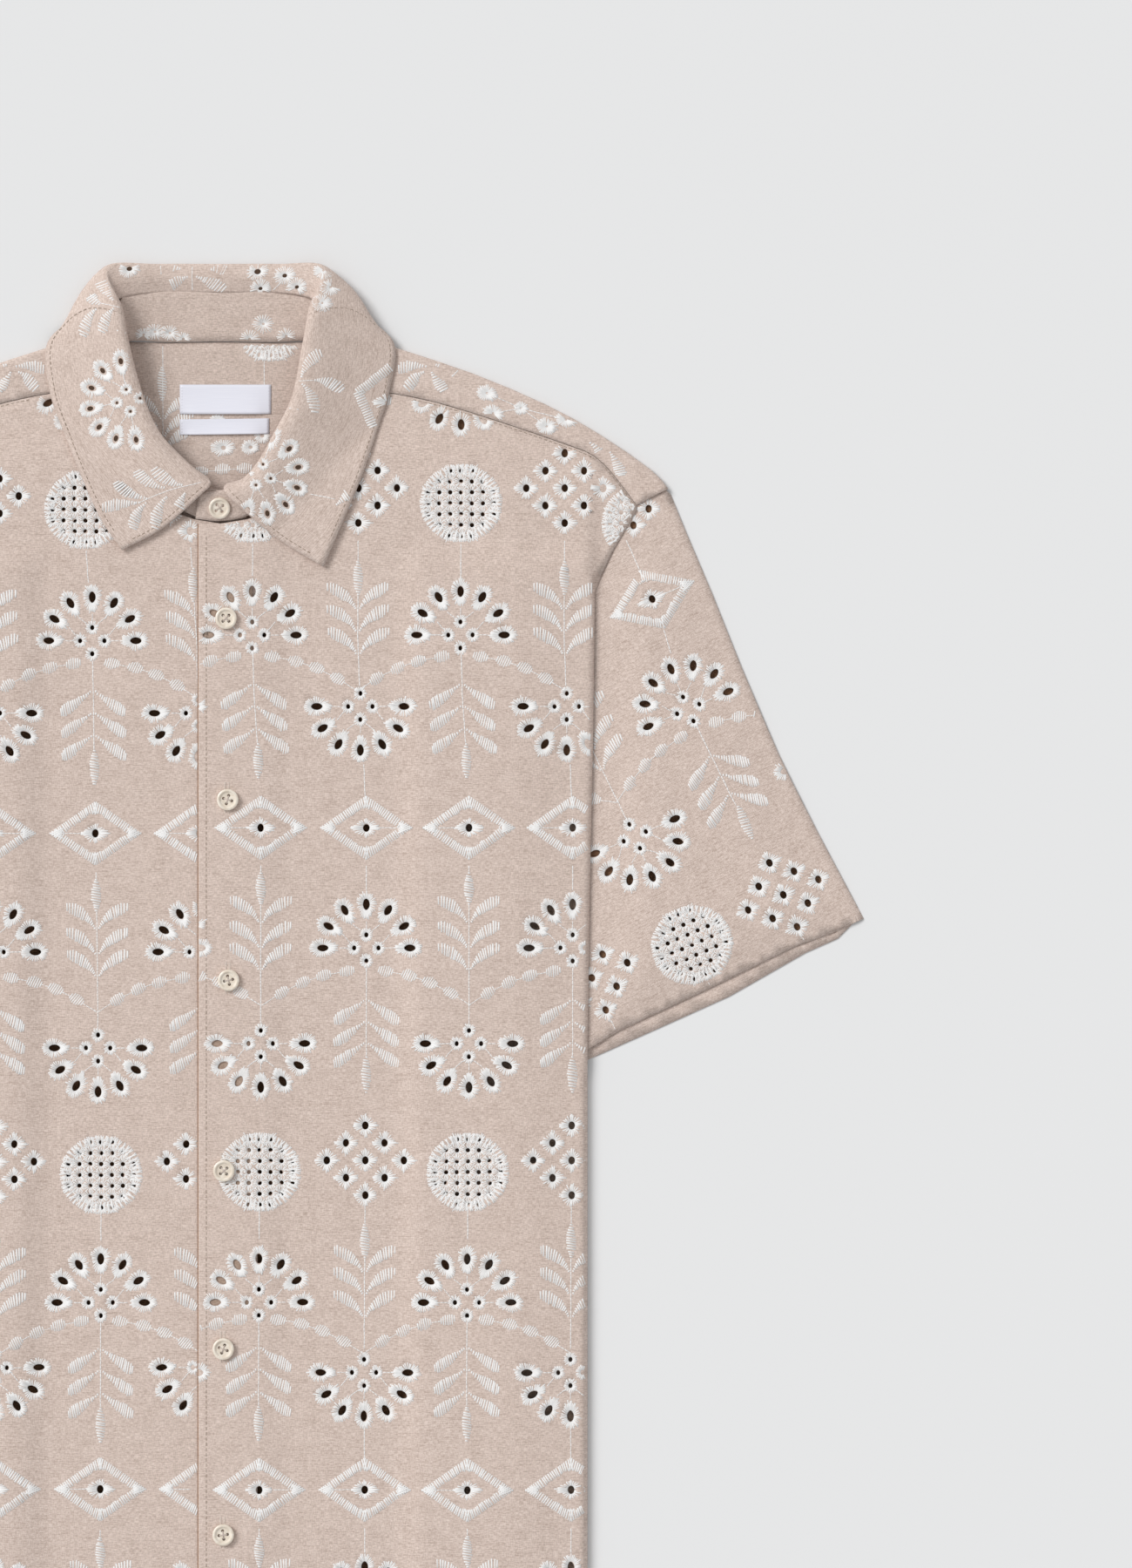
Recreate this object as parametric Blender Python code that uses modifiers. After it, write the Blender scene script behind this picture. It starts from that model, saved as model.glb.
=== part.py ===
"""A short-sleeved embroidered shirt, buttoned to the neck and laid flat on its back, its sides folded under.

The tables are in millimetres: X across the shirt, Y from hem to collar, Z up from the surface it lies on.
"""

import math

import bmesh
import bpy
from mathutils import Vector
from mathutils.geometry import delaunay_2d_cdt

MM = 0.001

# Driving dimensions
LENGTH = 762.0  # collar fold to hem
HEM = -LENGTH / 2
WALL = 1.2
GAP = 0.3
LAYER = WALL + GAP
BODY_HALF_WIDTH = 202.0
FULLNESS = 2.0  # how far the cloth on top stands off what it lies on, away from its edges
FOLD_RISE = 1.0  # and how far at its seams
PLACKET_EDGE = -13.0
UNDERLAP = 20.0  # how far the left front reaches under the right one, past the middle
FOLDED_UNDER = 88.0  # width folded under the body at each side
SLEEVE_TILT = math.radians(23.5)

# The shirt's right-hand side as seen from above: columns are x, y
NECK_BACK = [(0, 338), (30, 337.6), (52, 338), (64, 340.5)]
NECK_FRONT = [(0, 238), (22, 243), (42, 260), (56, 284), (61, 300), (62, 315)]
SHOULDER_FOLD = [(72, 340.5), (96, 333), (138, 319), (178, 302), (207, 286), (236, 266), (245, 256)]
SHOULDER_SEAM = [(62, 316), (93, 310), (118, 305), (154, 294), (192, 281), (206, 275), (217, 264), (229, 248)]
ARMHOLE = [(229, 245), (216, 223), (209, 208)]
SLEEVE_FOLD = [(248, 254), (257, 232), (271, 199), (287, 159), (308, 110), (329, 68), (354.5, 20)]
SLEEVE_HEM = [(354, 19.5), (335, 11.5), (317, 5), (268, -19), (219, -42), (204, -51), (168, -68)]
SLEEVE_HEM_UNDER = [(340, 9), (322, 1), (280, -23), (240, -41), (204, -57), (172, -72)]
SLEEVE_INNER = [(168, -68), (160, 30), (164, 110), (182, 170), (209, 207)]

# Collar sections from the centre back round to the front edge: seam, roll, crown, fall and edge, each x, y, z
COLLAR_RIGHT = [
    [(0, 365.2, 3.6), (0, 374, 4.6), (0, 380.4, 3.2), (0, 375, 0.95), (0, 342, 0.8)],
    [(30, 365.2, 3.9), (30, 374, 5.2), (31, 380.4, 3.6), (32, 375, 0.95), (32, 343, 0.8)],
    [(51, 361, 7.5), (53, 370, 10.0), (56, 379, 9.0), (60, 374, 3.0), (56, 352, 0.9)],
    [(54, 349, 12.4), (49, 355, 14.5), (55, 360, 17.0), (75, 363, 7.0), (74, 352, 1.0)],
    [(51, 333, 14.0), (45.6, 336, 16.0), (52, 338, 18.4), (78, 342, 10.5), (95, 337.5, 4.9)],
    [(46, 308, 12.5), (39.8, 307.4, 14.5), (47, 306, 17.0), (70, 307, 10.5), (93, 312, 5.2)],
    [(36, 289, 11.5), (30.2, 287.8, 13.4), (38, 286, 15.8), (62, 284, 10.0), (86.4, 290, 5.0)],
    [(26, 274, 10.8), (21, 271, 12.6), (29, 268, 14.8), (52, 261, 9.6), (77, 262, 5.0)],
    [(14, 263, 10.4), (11, 259.6, 12.4), (19, 256, 14.2), (42, 244, 9.2), (67, 238, 5.0)],
    [(3, 259, 10.2), (2, 256, 12.4), (7, 250, 13.6), (31, 229.5, 9.0), (56.6, 213.8, 5.0)],
]
COLLAR_LEFT = [
    [(0, 365.2, 3.6), (0, 374, 4.6), (0, 380.4, 3.2), (0, 375, 0.95), (0, 342, 0.8)],
    [(-34, 365.2, 3.9), (-34, 374, 5.2), (-35, 380.4, 3.6), (-36, 375, 0.95), (-36, 343, 0.8)],
    [(-57, 361, 7.5), (-60, 370, 10.0), (-62, 379, 9.0), (-66, 374, 3.0), (-60, 352, 0.9)],
    [(-58, 349, 12.4), (-54.2, 356, 14.5), (-60, 360, 17.0), (-79, 361, 7.0), (-76, 352, 1.0)],
    [(-55, 336, 14.0), (-50.9, 338.6, 16.0), (-57, 340, 18.4), (-81, 342, 10.5), (-95.5, 337.5, 4.9)],
    [(-50, 315, 14.2), (-45, 315, 15.6), (-52, 313, 17.6), (-73, 312, 10.5), (-94.5, 311, 5.2)],
    [(-41, 296, 13.0), (-37, 293, 14.4), (-44, 291, 16.2), (-66, 288, 10.0), (-87, 289, 5.0)],
    [(-30, 283, 12.2), (-26, 276, 13.4), (-33, 272, 15.0), (-55, 264, 9.6), (-77, 264, 5.0)],
    [(-17, 270, 11.6), (-14, 265, 13.0), (-21, 260, 14.4), (-42, 247, 9.2), (-66, 240, 5.0)],
    [(-6, 262, 10.2), (-5.5, 258.6, 12.4), (-10, 254, 13.6), (-32, 235, 9.0), (-54.5, 223, 5.0)],
]
# The band under the collar, from the centre back to the button end: neck edge and collar edge, each x, y, z
STAND_HALF = [
    [(0, 338.4, 2.2), (0, 364.6, 2.9)],
    [(30, 338.0, 2.2), (31, 364.6, 3.2)],
    [(50, 338.6, 3.0), (51, 359.5, 6.4)],
    [(60, 332, 5.6), (55, 346, 11.4)],
    [(61, 316, 6.6), (52, 329, 12.8)],
    [(58, 298, 6.2), (46.5, 308, 11.2)],
    [(50, 276, 5.6), (37, 288, 10.0)],
    [(37, 257, 5.4), (26, 272, 9.2)],
    [(17, 243, 5.4), (13, 260, 8.6)],
    [(0, 239.2, 5.4), (0, 256, 8.4)],
    [(-14, 240.5, 5.4), (-12, 255, 8.2)],
]
# Buttons down the placket, and the one on the collar band: x, y
BUTTONS = [(2.9, 185.5), (3.8, 85.7), (4.3, -13.7), (1.7, -118.6), (1.4, -216.7), (1.4, -319.0)]
COLLAR_BUTTON = (-0.7, 246.4)
BUTTON_RADIUS = 5.9
BUTTON_THICKNESS = 2.6
# Neck labels: left, right, lower and upper edge
LABELS = {"label_main": (-23, 27.4, 298.3, 314.6), "label_size": (-23, 26.4, 286.8, 295.4)}
LABEL_WALL = 1.0

# The cutwork repeat
COLUMNS_RIGHT = {"disc": [19.7, 134.4], "lozenge": [77.8, 191.5]}
COLUMNS_LEFT = {"disc": [-68.2, -184.0], "lozenge": [-10.6, -126.2]}
COLUMNS_SLEEVE = {"disc": [-57.5, 57.5], "lozenge": [0.0, -115.0]}
DISC_ROW = 248.4
REPEAT = 365.0
DIAMOND_DROP = 181.0
# Palmette middles below a row of discs in each kind of column: drop, and 1 for a fan that points up
PALMETTES = {"disc": [(71.5, 1), (297.0, -1)], "lozenge": [(111.4, -1), (244.4, 1)]}
SLEEVE_DIAMOND = (237.6, 196.1)
PETALS = 7
PETAL_RING = 24.0
PETAL_HOLE = (8.4, 4.8)
LOZENGE_STEP = (10.6, 9.6)
LOZENGE_HOLE = (4.4, 5.2)
HOLE_SIDES = 6
MOST_HOLES = 300

LINEN = (0.60, 0.51, 0.41, 1)
LINEN_SHADE = (0.56, 0.47, 0.375, 1)
IVORY = (0.80, 0.76, 0.66, 1)
SATIN = (0.78, 0.76, 0.78, 1)


def smooth(t):
    t = min(max(t, 0.0), 1.0)
    return t * t * (3 - 2 * t)


def curve(points, steps):
    """Points on a smooth curve through the given ones, `steps` to each stretch."""
    points = [Vector(p) for p in points]
    ends = [2 * points[0] - points[1], *points, 2 * points[-1] - points[-2]]
    found = []
    for a, b, c, d in zip(ends, ends[1:], ends[2:], ends[3:]):
        for i in range(steps):
            t = i / steps
            bend = (2 * a - 5 * b + 4 * c - d) * t**2 + (3 * b - a - 3 * c + d) * t**3
            found.append(0.5 * (2 * b + (c - a) * t + bend))
    return [*found, points[-1]]


def spaced(path, count):
    """`count` points evenly along a path."""
    path = [Vector(p) for p in path]
    run = [0.0]
    for a, b in zip(path, path[1:]):
        run.append(run[-1] + (b - a).length)
    found = []
    for i in range(count):
        want = run[-1] * i / (count - 1)
        k = max(1, next((j for j, r in enumerate(run) if r >= want - 1e-9), len(run) - 1))
        found.append(path[k - 1].lerp(path[k], (want - run[k - 1]) / max(run[k] - run[k - 1], 1e-9)))
    return found


def on_side(points, side):
    return [(side * p[0], *p[1:]) for p in points]


def lift(x, y):
    """How far the layers folded under each side raise the body over them."""
    return 2 * LAYER * smooth((abs(x) - 94) / 19) * smooth((232 - y) / 24)


def side_edge(y):
    return BODY_HALF_WIDTH + 4 * smooth((y + 60) / 260)


def seam_line(x):
    """The forward shoulder seam's height at x."""
    x = abs(x)
    for (x0, y0), (x1, y1) in zip(SHOULDER_SEAM, SHOULDER_SEAM[1:]):
        if x <= x1:
            return y0 + (y1 - y0) * (max(x, x0) - x0) / (x1 - x0)
    return SHOULDER_SEAM[-1][1]


def overlap(x):
    """The extra layer where the right-hand front lies over the left one."""
    return LAYER * (1 - smooth((x - UNDERLAP - 2) / 16))


def front_height(x, y):
    """The inner face of a front, from its shoulder seam to its side fold and hem."""
    near_edge = smooth((seam_line(x) - y) / 50) * smooth((y - HEM) / 60) * smooth((204 - abs(x)) / 45)
    upper = LAYER + lift(x, y) + FOLD_RISE + FULLNESS * near_edge
    on_floor = smooth((-58 - y) / 14)
    edge_level = (1 - on_floor) * (LAYER + lift(x, y) + 0.25) + on_floor * GAP
    edge_level = edge_level if y < 208 else LAYER + lift(x, y)
    inside = side_edge(y) - WALL - abs(x)
    roll = min(max(1 - inside / 4.5, 0.0), 1.0)
    return upper - (upper - edge_level) * (1 - math.sqrt(1 - min(roll, 0.999) ** 2)) * smooth((275 - y) / 40)


def front_right_height(x, y):
    return front_height(x, y) + overlap(x)


def from_sleeve(u, v):
    """A point given across and along the sleeve's own pattern, from its upper diamond."""
    c, s = math.cos(SLEEVE_TILT), math.sin(SLEEVE_TILT)
    return SLEEVE_DIAMOND[0] + u * c - v * s, SLEEVE_DIAMOND[1] + u * s + v * c


def distance_to(path, x, y):
    """The shortest way from a point to a path."""
    point = Vector((x, y))
    best = 1e9
    for a, b in zip(path, path[1:]):
        a, b = Vector(a), Vector(b)
        along = min(max((point - a).dot(b - a) / (b - a).length_squared, 0.0), 1.0)
        best = min(best, (point - a.lerp(b, along)).length)
    return best


def sleeve_height(x, y):
    """The inner face of a sleeve's upper layer, full in the middle and rolled down at its outer fold."""
    x = abs(x)
    from_fold = distance_to(SLEEVE_FOLD, x, y)
    from_body = x - side_edge(y) if y < 208 else distance_to(ARMHOLE + [(248, 254)], x, y)
    full = LAYER + FULLNESS * smooth((from_body - 3) / 30) * smooth(from_fold / 40)
    roll = min(max(1 - from_fold / 4.0, 0.0), 0.999)
    return full * math.sqrt(1 - roll**2)


def flat(x, y):
    return 0.0


def inside(loop, x, y):
    """Whether a point lies in a closed outline, by counting the edges it would cross."""
    found = False
    for (x0, y0), (x1, y1) in zip(loop, loop[1:] + loop[:1]):
        if (y0 > y) != (y1 > y) and x < x0 + (y - y0) / (y1 - y0) * (x1 - x0):
            found = not found
    return found


def oval(x, y, size, turn):
    """A hole's corners: an oval of the given length and width, its length turned by `turn`."""
    corners = []
    for i in range(HOLE_SIDES):
        a = math.tau * (i + 0.5) / HOLE_SIDES
        along, across = size[0] / 2 * math.cos(a), size[1] / 2 * math.sin(a)
        corners.append((x + along * math.cos(turn) - across * math.sin(turn),
                        y + along * math.sin(turn) + across * math.cos(turn)))
    return corners


def palmette_holes(x, y, points_up):
    turns = [math.pi * i / (PETALS - 1) * points_up for i in range(PETALS)]
    return [oval(x + PETAL_RING * math.cos(t), y + PETAL_RING * math.sin(t), PETAL_HOLE, t) for t in turns]


def lozenge_holes(x, y):
    steps = [(i - j, i + j - 2) for i in range(3) for j in range(3)]
    return [oval(x + i * LOZENGE_STEP[0], y + j * LOZENGE_STEP[1], LOZENGE_HOLE, 0) for i, j in steps]


def repeat_holes(columns, rows):
    """The petal holes and the lozenge holes of the cutwork, for the columns and disc rows given."""
    petals, lozenges = [], []
    for row in rows:
        for kind, places in columns.items():
            for x in places:
                for drop, points_up in PALMETTES[kind]:
                    petals += palmette_holes(x, row - drop, points_up)
                if kind == "lozenge":
                    lozenges += lozenge_holes(x, row)
    return petals, lozenges


def fitting(holes, outline, margin, clear_of):
    """The holes that lie inside an outline, at least `margin` from its edge, where `clear_of` allows them."""
    closed = outline + outline[:1]
    kept = []
    for hole in holes:
        x, y = (sum(p[i] for p in hole) / len(hole) for i in (0, 1))
        if inside(outline, x, y) and distance_to(closed, x, y) > margin and clear_of(x, y):
            kept.append(hole)
    return kept


def link(obj, group):
    bpy.data.collections[group].objects.link(obj)
    return obj


def finish(obj, colour, roughness=0.85):
    """Gives a piece its own material."""
    material = bpy.data.materials.new(obj.name)
    material.use_nodes = True
    shader = material.node_tree.nodes["Principled BSDF"]
    shader.inputs["Base Color"].default_value = colour
    shader.inputs["Roughness"].default_value = roughness
    shader.inputs["Metallic"].default_value = 0.0
    material.diffuse_color = colour
    obj.data.materials.clear()
    obj.data.materials.append(material)
    return obj


def mesh_object(name, bm):
    mesh = bpy.data.meshes.new(name)
    bm.to_mesh(mesh)
    bm.free()
    return link(bpy.data.objects.new(name, mesh), "shirt")


def thicken(obj, offset):
    wall = obj.modifiers.new("wall", "SOLIDIFY")
    wall.thickness = WALL * MM
    wall.offset = offset
    return obj


def split_long(loop, most):
    """A closed outline with its long stretches divided."""
    found = []
    for a, b in zip(loop, loop[1:] + loop[:1]):
        a, b = Vector(a[:2]), Vector(b[:2])
        parts = max(1, math.ceil((b - a).length / most))
        found += [tuple(a.lerp(b, i / parts)) for i in range(parts)]
    return found


def cut_cloth(outline, holes=(), creases=(), spacing=45.0):
    """A flat triangulated panel (millimetres), its holes open, with an edge along every crease line."""
    outline = split_long(outline, spacing)
    closed = outline + outline[:1]
    points, edges = [], []
    for loop in (outline, *holes):
        first = len(points)
        points += [Vector(p) for p in loop]
        edges += [(first + i, first + (i + 1) % len(loop)) for i in range(len(loop))]
    for line in creases:
        first = len(points)
        points += [Vector(p) for p in line]
        edges += [(first + i, first + i + 1) for i in range(len(line) - 1)]
    middles = [tuple(sum(p[i] for p in hole) / len(hole) for i in (0, 1)) for hole in holes]
    low = [min(p[i] for p in outline) for i in (0, 1)]
    high = [max(p[i] for p in outline) for i in (0, 1)]
    steps = [max(1, round((high[i] - low[i]) / spacing)) for i in (0, 1)]
    for i in range(1, steps[0]):
        for j in range(1, steps[1]):
            x, y = (low[k] + (high[k] - low[k]) * n / steps[k] for k, n in ((0, i), (1, j)))
            clear = min([distance_to(line, x, y) for line in (closed, *creases)])
            if inside(outline, x, y) and clear > 8 and all(abs(x - a) + abs(y - b) > 9 for a, b in middles):
                points.append(Vector((x, y)))
    corners, _, faces, *_ = delaunay_2d_cdt(points, edges, [], 0, 1e-3)
    bm = bmesh.new()
    verts = [bm.verts.new((p.x, p.y, 0)) for p in corners]
    for face in faces:
        x, y = (sum(corners[i][k] for i in face) / 3 for k in (0, 1))
        in_hole = any(abs(x - a) < 6 and abs(y - b) < 6 and inside(hole, x, y)
                      for hole, (a, b) in zip(holes, middles))
        if inside(outline, x, y) and not in_hole:
            bm.faces.new([verts[i] for i in face])
    bmesh.ops.delete(bm, geom=[v for v in bm.verts if not v.link_faces], context="VERTS")
    bmesh.ops.recalc_face_normals(bm, faces=bm.faces)
    if sum(f.normal.z for f in bm.faces) < 0:
        bmesh.ops.reverse_faces(bm, faces=bm.faces)
    return bm


def raised(bm, height):
    """Lifts a flat panel to its height and turns it into metres."""
    for vert in bm.verts:
        x, y = vert.co.x, vert.co.y
        vert.co = Vector((x, y, height(x, y))) * MM
    return bm


def side_creases(insets, side, top):
    """Lines just inside a side fold, from below the hem up to `top`, where the cloth rolls over."""
    levels = (HEM - 5, -300, -220, -140, -76, -69, -62, -56, -10, 60, 130, 185, top)
    return [[(side * (side_edge(y) - WALL - d), y) for y in levels] for d in insets]


def lift_creases(side):
    """Lines where the body rises over what is folded under it."""
    upright = [[(side * x, y) for y in (HEM - 5, -200, 0, 236)] for x in (94, 103.5, 113)]
    return upright + [[(side * 93, y), (side * 192, y)] for y in (208, 220, 232)]


def make_front(name, side, height, columns, edge_x, clear_of):
    neck = spaced(curve(NECK_FRONT, 4), 9)
    seam = [(x, y - GAP) for x, y in spaced(curve(SHOULDER_SEAM, 4), 12)]
    edge = [(side_edge(y) - WALL, y) for y in (200, 120, 40, -50, -58, -65, -72, -110, -200, -300, HEM)]
    outline = on_side([tuple(p) for p in neck] + seam + ARMHOLE + edge, side)
    centre = [(edge_x, HEM), (edge_x, -200), (edge_x, 0), (edge_x, 150), (edge_x, NECK_FRONT[0][1] - 0.2)]
    outline = [(x, y - GAP) if y > HEM + 1 and abs(x) < 61 else (x, y) for x, y in outline + centre]
    creases = side_creases((0.9, 2.4, 5.0), side, 207.5) + lift_creases(side)
    if side > 0:
        creases += [[(UNDERLAP + d, y) for y in (HEM - 5, -320, 0, 258)] for d in (2, 10, 18)]
    petals, lozenges = repeat_holes(columns, (DISC_ROW + REPEAT, DISC_ROW, DISC_ROW - REPEAT))
    holes = fitting(petals, outline, 7.5, clear_of) + fitting(lozenges, outline, 7.5, clear_of)
    front = thicken(mesh_object(name, raised(cut_cloth(outline, holes, creases), height)), 1)
    return finish(front, LINEN), len(holes)


def make_back():
    """The back, with a strip past each shoulder fold that wraps forward to the seam."""
    fold = [tuple(p) for p in spaced(curve(SHOULDER_FOLD, 4), 12)]
    side = [(side_edge(y) - 6.2, y) for y in (200, 100, 0, -100, -200, -300, HEM)]
    half = NECK_BACK + fold + ARMHOLE + side
    outline = half + on_side(half[1:], -1)[::-1]
    bm = raised(cut_cloth(outline, creases=lift_creases(1) + lift_creases(-1)), lift)
    seam = [tuple(p) for p in spaced(curve(SHOULDER_SEAM, 4), 12)]
    top = LAYER + FOLD_RISE + WALL
    for s in (-1, 1):
        wrap_shoulder(bm, on_side(fold, s), on_side(seam, s), top)
    return finish(thicken(mesh_object("back", bm), 1), LINEN_SHADE)


def wrap_shoulder(bm, fold, seam, top):
    """Extrudes the shoulder edge round its fold, and on to the seam on the front."""
    bm.verts.ensure_lookup_table()
    rim = [v for v in bm.verts if v.is_boundary]
    chain = [min(rim, key=lambda v: (v.co.xy - Vector(p) * MM).length) for p in fold]
    reach = {vert: (Vector(p), Vector(q)) for vert, p, q in zip(chain, fold, seam)}
    pairs = set(zip(chain, chain[1:])) | set(zip(chain[1:], chain))
    edges = [e for e in bm.edges if tuple(e.verts) in pairs]
    turns = [math.pi * i / 4 for i in range(1, 5)]
    for step in [*turns, None]:
        made = bmesh.ops.extrude_edge_only(bm, edges=edges)["geom"]
        copies = [g for g in made if isinstance(g, bmesh.types.BMVert)]
        origin = {vert: min(reach, key=lambda v, at=vert.co.copy(): (v.co - at).length) for vert in copies}
        reach = {vert: reach[origin[vert]] for vert in copies}
        for vert, (p, q) in reach.items():
            out = (p - q).normalized()
            if step is None:
                place, z = q, top
            else:
                place, z = p + out * (top / 2 * math.sin(step)), top / 2 * (1 - math.cos(step))
            vert.co = Vector((place.x, place.y, z)) * MM
        edges = [g for g in made if isinstance(g, bmesh.types.BMEdge) and all(v in reach for v in g.verts)]


def make_sleeve(side, upper):
    fold = spaced(curve(SLEEVE_FOLD, 4), 10)
    name = f"sleeve_{'right' if side > 0 else 'left'}_{'upper' if upper else 'under'}"
    armhole = [(x + 0.3, y - 0.3) for x, y in ARMHOLE[::-1]]
    if upper:
        edge = [(p.x - WALL, p.y) for p in fold]
        hem = SLEEVE_HEM[1:]
        creases = [[(p.x - WALL - d, p.y - 0.4 * d) for p in [*fold[1:], (2 * fold[-1] - fold[-2])]]
                   for d in (0.9, 2.2, 4.5)]
        creases += [[(side_edge(y) + d, y) for y in (-90, 0, 100, 196)] for d in (3, 18)]
    else:
        edge = [(p.x - 7.0, p.y - 2.0) for p in fold]
        hem = SLEEVE_HEM_UNDER
        creases = []
    outline = on_side(edge + hem + SLEEVE_INNER[1:-1] + armhole, side)
    holes = []
    if upper:
        petals, lozenges = repeat_holes(COLUMNS_SLEEVE, (DIAMOND_DROP, DIAMOND_DROP - REPEAT))
        petals = [[from_sleeve(*p) for p in hole] for hole in petals]
        lozenges = [[from_sleeve(*p) for p in hole] for hole in lozenges]
        cut = [on_side(hole, side) for hole in petals + lozenges]
        holes = fitting(cut, outline, 7.0, lambda x, y: abs(x) > side_edge(y) + 5)
    bm = cut_cloth(outline, holes, [on_side(line, side) for line in creases], 50.0)
    sleeve = thicken(mesh_object(name, raised(bm, sleeve_height if upper else flat)), 1)
    return finish(sleeve, LINEN if upper else LINEN_SHADE), len(holes)


def cloth_top(x, y):
    """The top of the front or shoulder strip under the collar, or the floor beyond the shoulder."""
    if y > 341 - 0.33 * max(abs(x) - 72, 0):
        return -1.0
    if y > seam_line(x):
        return LAYER + FOLD_RISE + WALL
    return front_height(x, y) + WALL + (overlap(x) if x > -14 else 0.0)


def loft(name, sections, colour):
    """A wall through sections of equal length, its middle surface given in millimetres."""
    bm = bmesh.new()
    rows = [[bm.verts.new(Vector(p) * MM) for p in section] for section in sections]
    for a, b in zip(rows, rows[1:]):
        for i in range(len(a) - 1):
            bm.faces.new((a[i], a[i + 1], b[i + 1], b[i]))
    return finish(thicken(mesh_object(name, bm), 0), colour)


def through(table, along, across):
    """Smooths a table of sections in both directions."""
    columns = [curve([row[i] for row in table], along) for i in range(len(table[0]))]
    return [curve([column[k] for column in columns], across) for k in range(len(columns[0]))]


def make_collar():
    """The collar leaf, rolled over its band and resting on the shoulders and fronts."""
    table = COLLAR_LEFT[:0:-1] + COLLAR_RIGHT
    sections = []
    for section in through(table, 2, 2):
        placed = []
        for k, p in enumerate(section):
            raise_by = overlap(p.x) * smooth((300 - p.y) / 20) if p.x > -4 else 0.0
            z = p.z + raise_by
            if k > 5:
                z = max(z, cloth_top(p.x, p.y) + GAP + WALL / 2)
            placed.append((p.x, p.y, z))
        sections.append(placed)
    return loft("collar_leaf", sections, LINEN)


def stand_point(p, side):
    x, y, z = side * p[0], p[1], p[2]
    return x, y, z + (overlap(x) * smooth((300 - y) / 20) if side > 0 else 0.0)


def make_stand():
    """The collar band, its right-hand end buttoned over its left one."""
    left = [[stand_point(p, -1) for p in row] for row in STAND_HALF[:0:-1]]
    right = [[stand_point(p, 1) for p in row] for row in STAND_HALF]
    return loft("collar_stand", through(left + right, 2, 2), LINEN_SHADE)


def make_folded_side(side):
    """What is folded under the body at one side: two layers, stepped at the inner edge."""
    inner = BODY_HALF_WIDTH - FOLDED_UNDER
    layers = []
    for k, step in enumerate((0, 7)):
        path = [(inner + step, HEM + 3), (195, HEM + 3), (195, -88), (160, -79), (152, 20),
                (154, 100), (150, 140), (inner + step + 14, 150)]
        outline = bpy.data.curves.new("fold", "CURVE")
        outline.dimensions = "2D"
        outline.fill_mode = "BOTH"
        outline.extrude = 0.25 * MM
        outline.bevel_depth = 0.5 * MM
        outline.bevel_resolution = 1
        spline = outline.splines.new("POLY")
        spline.points.add(len(path) - 1)
        for point, (x, y) in zip(spline.points, path):
            point.co = (side * x * MM, y * MM, 0, 1)
        spline.use_cyclic_u = True
        shape = link(bpy.data.objects.new("fold", outline), "cutters")
        bpy.context.view_layer.update()
        mesh = bpy.data.meshes.new_from_object(shape.evaluated_get(bpy.context.evaluated_depsgraph_get()))
        mesh.transform(shape.matrix_world)
        bm = bmesh.new()
        bm.from_mesh(mesh)
        bmesh.ops.remove_doubles(bm, verts=bm.verts, dist=1e-6)
        bmesh.ops.translate(bm, verts=bm.verts, vec=(0, 0, (0.75 + 1.35 * k) * MM))
        bmesh.ops.recalc_face_normals(bm, faces=bm.faces)
        bm.to_mesh(mesh)
        bm.free()
        bpy.data.objects.remove(shape)
        layers.append(mesh)
    name = f"folded_side_{'right' if side > 0 else 'left'}"
    fold = link(bpy.data.objects.new(name, layers[0]), "shirt")
    upper = link(bpy.data.objects.new(name + "_layer", layers[1]), "cutters")
    upper.hide_render = True
    upper.display_type = "WIRE"
    union = fold.modifiers.new("layers", "BOOLEAN")
    union.operation = "UNION"
    union.object = upper
    return finish(fold, LINEN_SHADE)


def make_button(name, x, y, z, tilt=0.0):
    """A button turned from a profile: a rim, a shallow well and a flat back."""
    r, t = BUTTON_RADIUS, BUTTON_THICKNESS
    profile = [(0, t * 0.62), (r * 0.6, t * 0.62), (r * 0.74, t), (r * 0.93, t * 0.96),
               (r, t * 0.6), (r * 0.9, t * 0.12), (r * 0.7, 0), (0, 0)]
    mesh = bpy.data.meshes.new(name)
    mesh.from_pydata([(px * MM, 0, pz * MM) for px, pz in profile],
                     [(i, i + 1) for i in range(len(profile) - 1)], [])
    button = link(bpy.data.objects.new(name, mesh), "shirt")
    button.location = (x * MM, y * MM, z * MM)
    button.rotation_euler.x = tilt
    turn = button.modifiers.new("turn", "SCREW")
    turn.steps = turn.render_steps = 12
    turn.use_merge_vertices = True
    turn.merge_threshold = 1e-5
    turn.use_smooth_shade = True
    return finish(button, IVORY, 0.35)


def make_label(name, left, right, low, high):
    bm = bmesh.new()
    bmesh.ops.create_cube(bm, size=MM)
    bmesh.ops.scale(bm, vec=(right - left, high - low, LABEL_WALL), verts=bm.verts)
    place = Vector(((left + right) / 2, (low + high) / 2, LAYER + LABEL_WALL / 2)) * MM
    bmesh.ops.translate(bm, vec=place, verts=bm.verts)
    return finish(mesh_object(name, bm), SATIN, 0.4)


for old in list(bpy.data.objects):
    bpy.data.objects.remove(old)
for group in ("shirt", "cutters"):
    bpy.context.scene.collection.children.link(bpy.data.collections.new(group))

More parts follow.
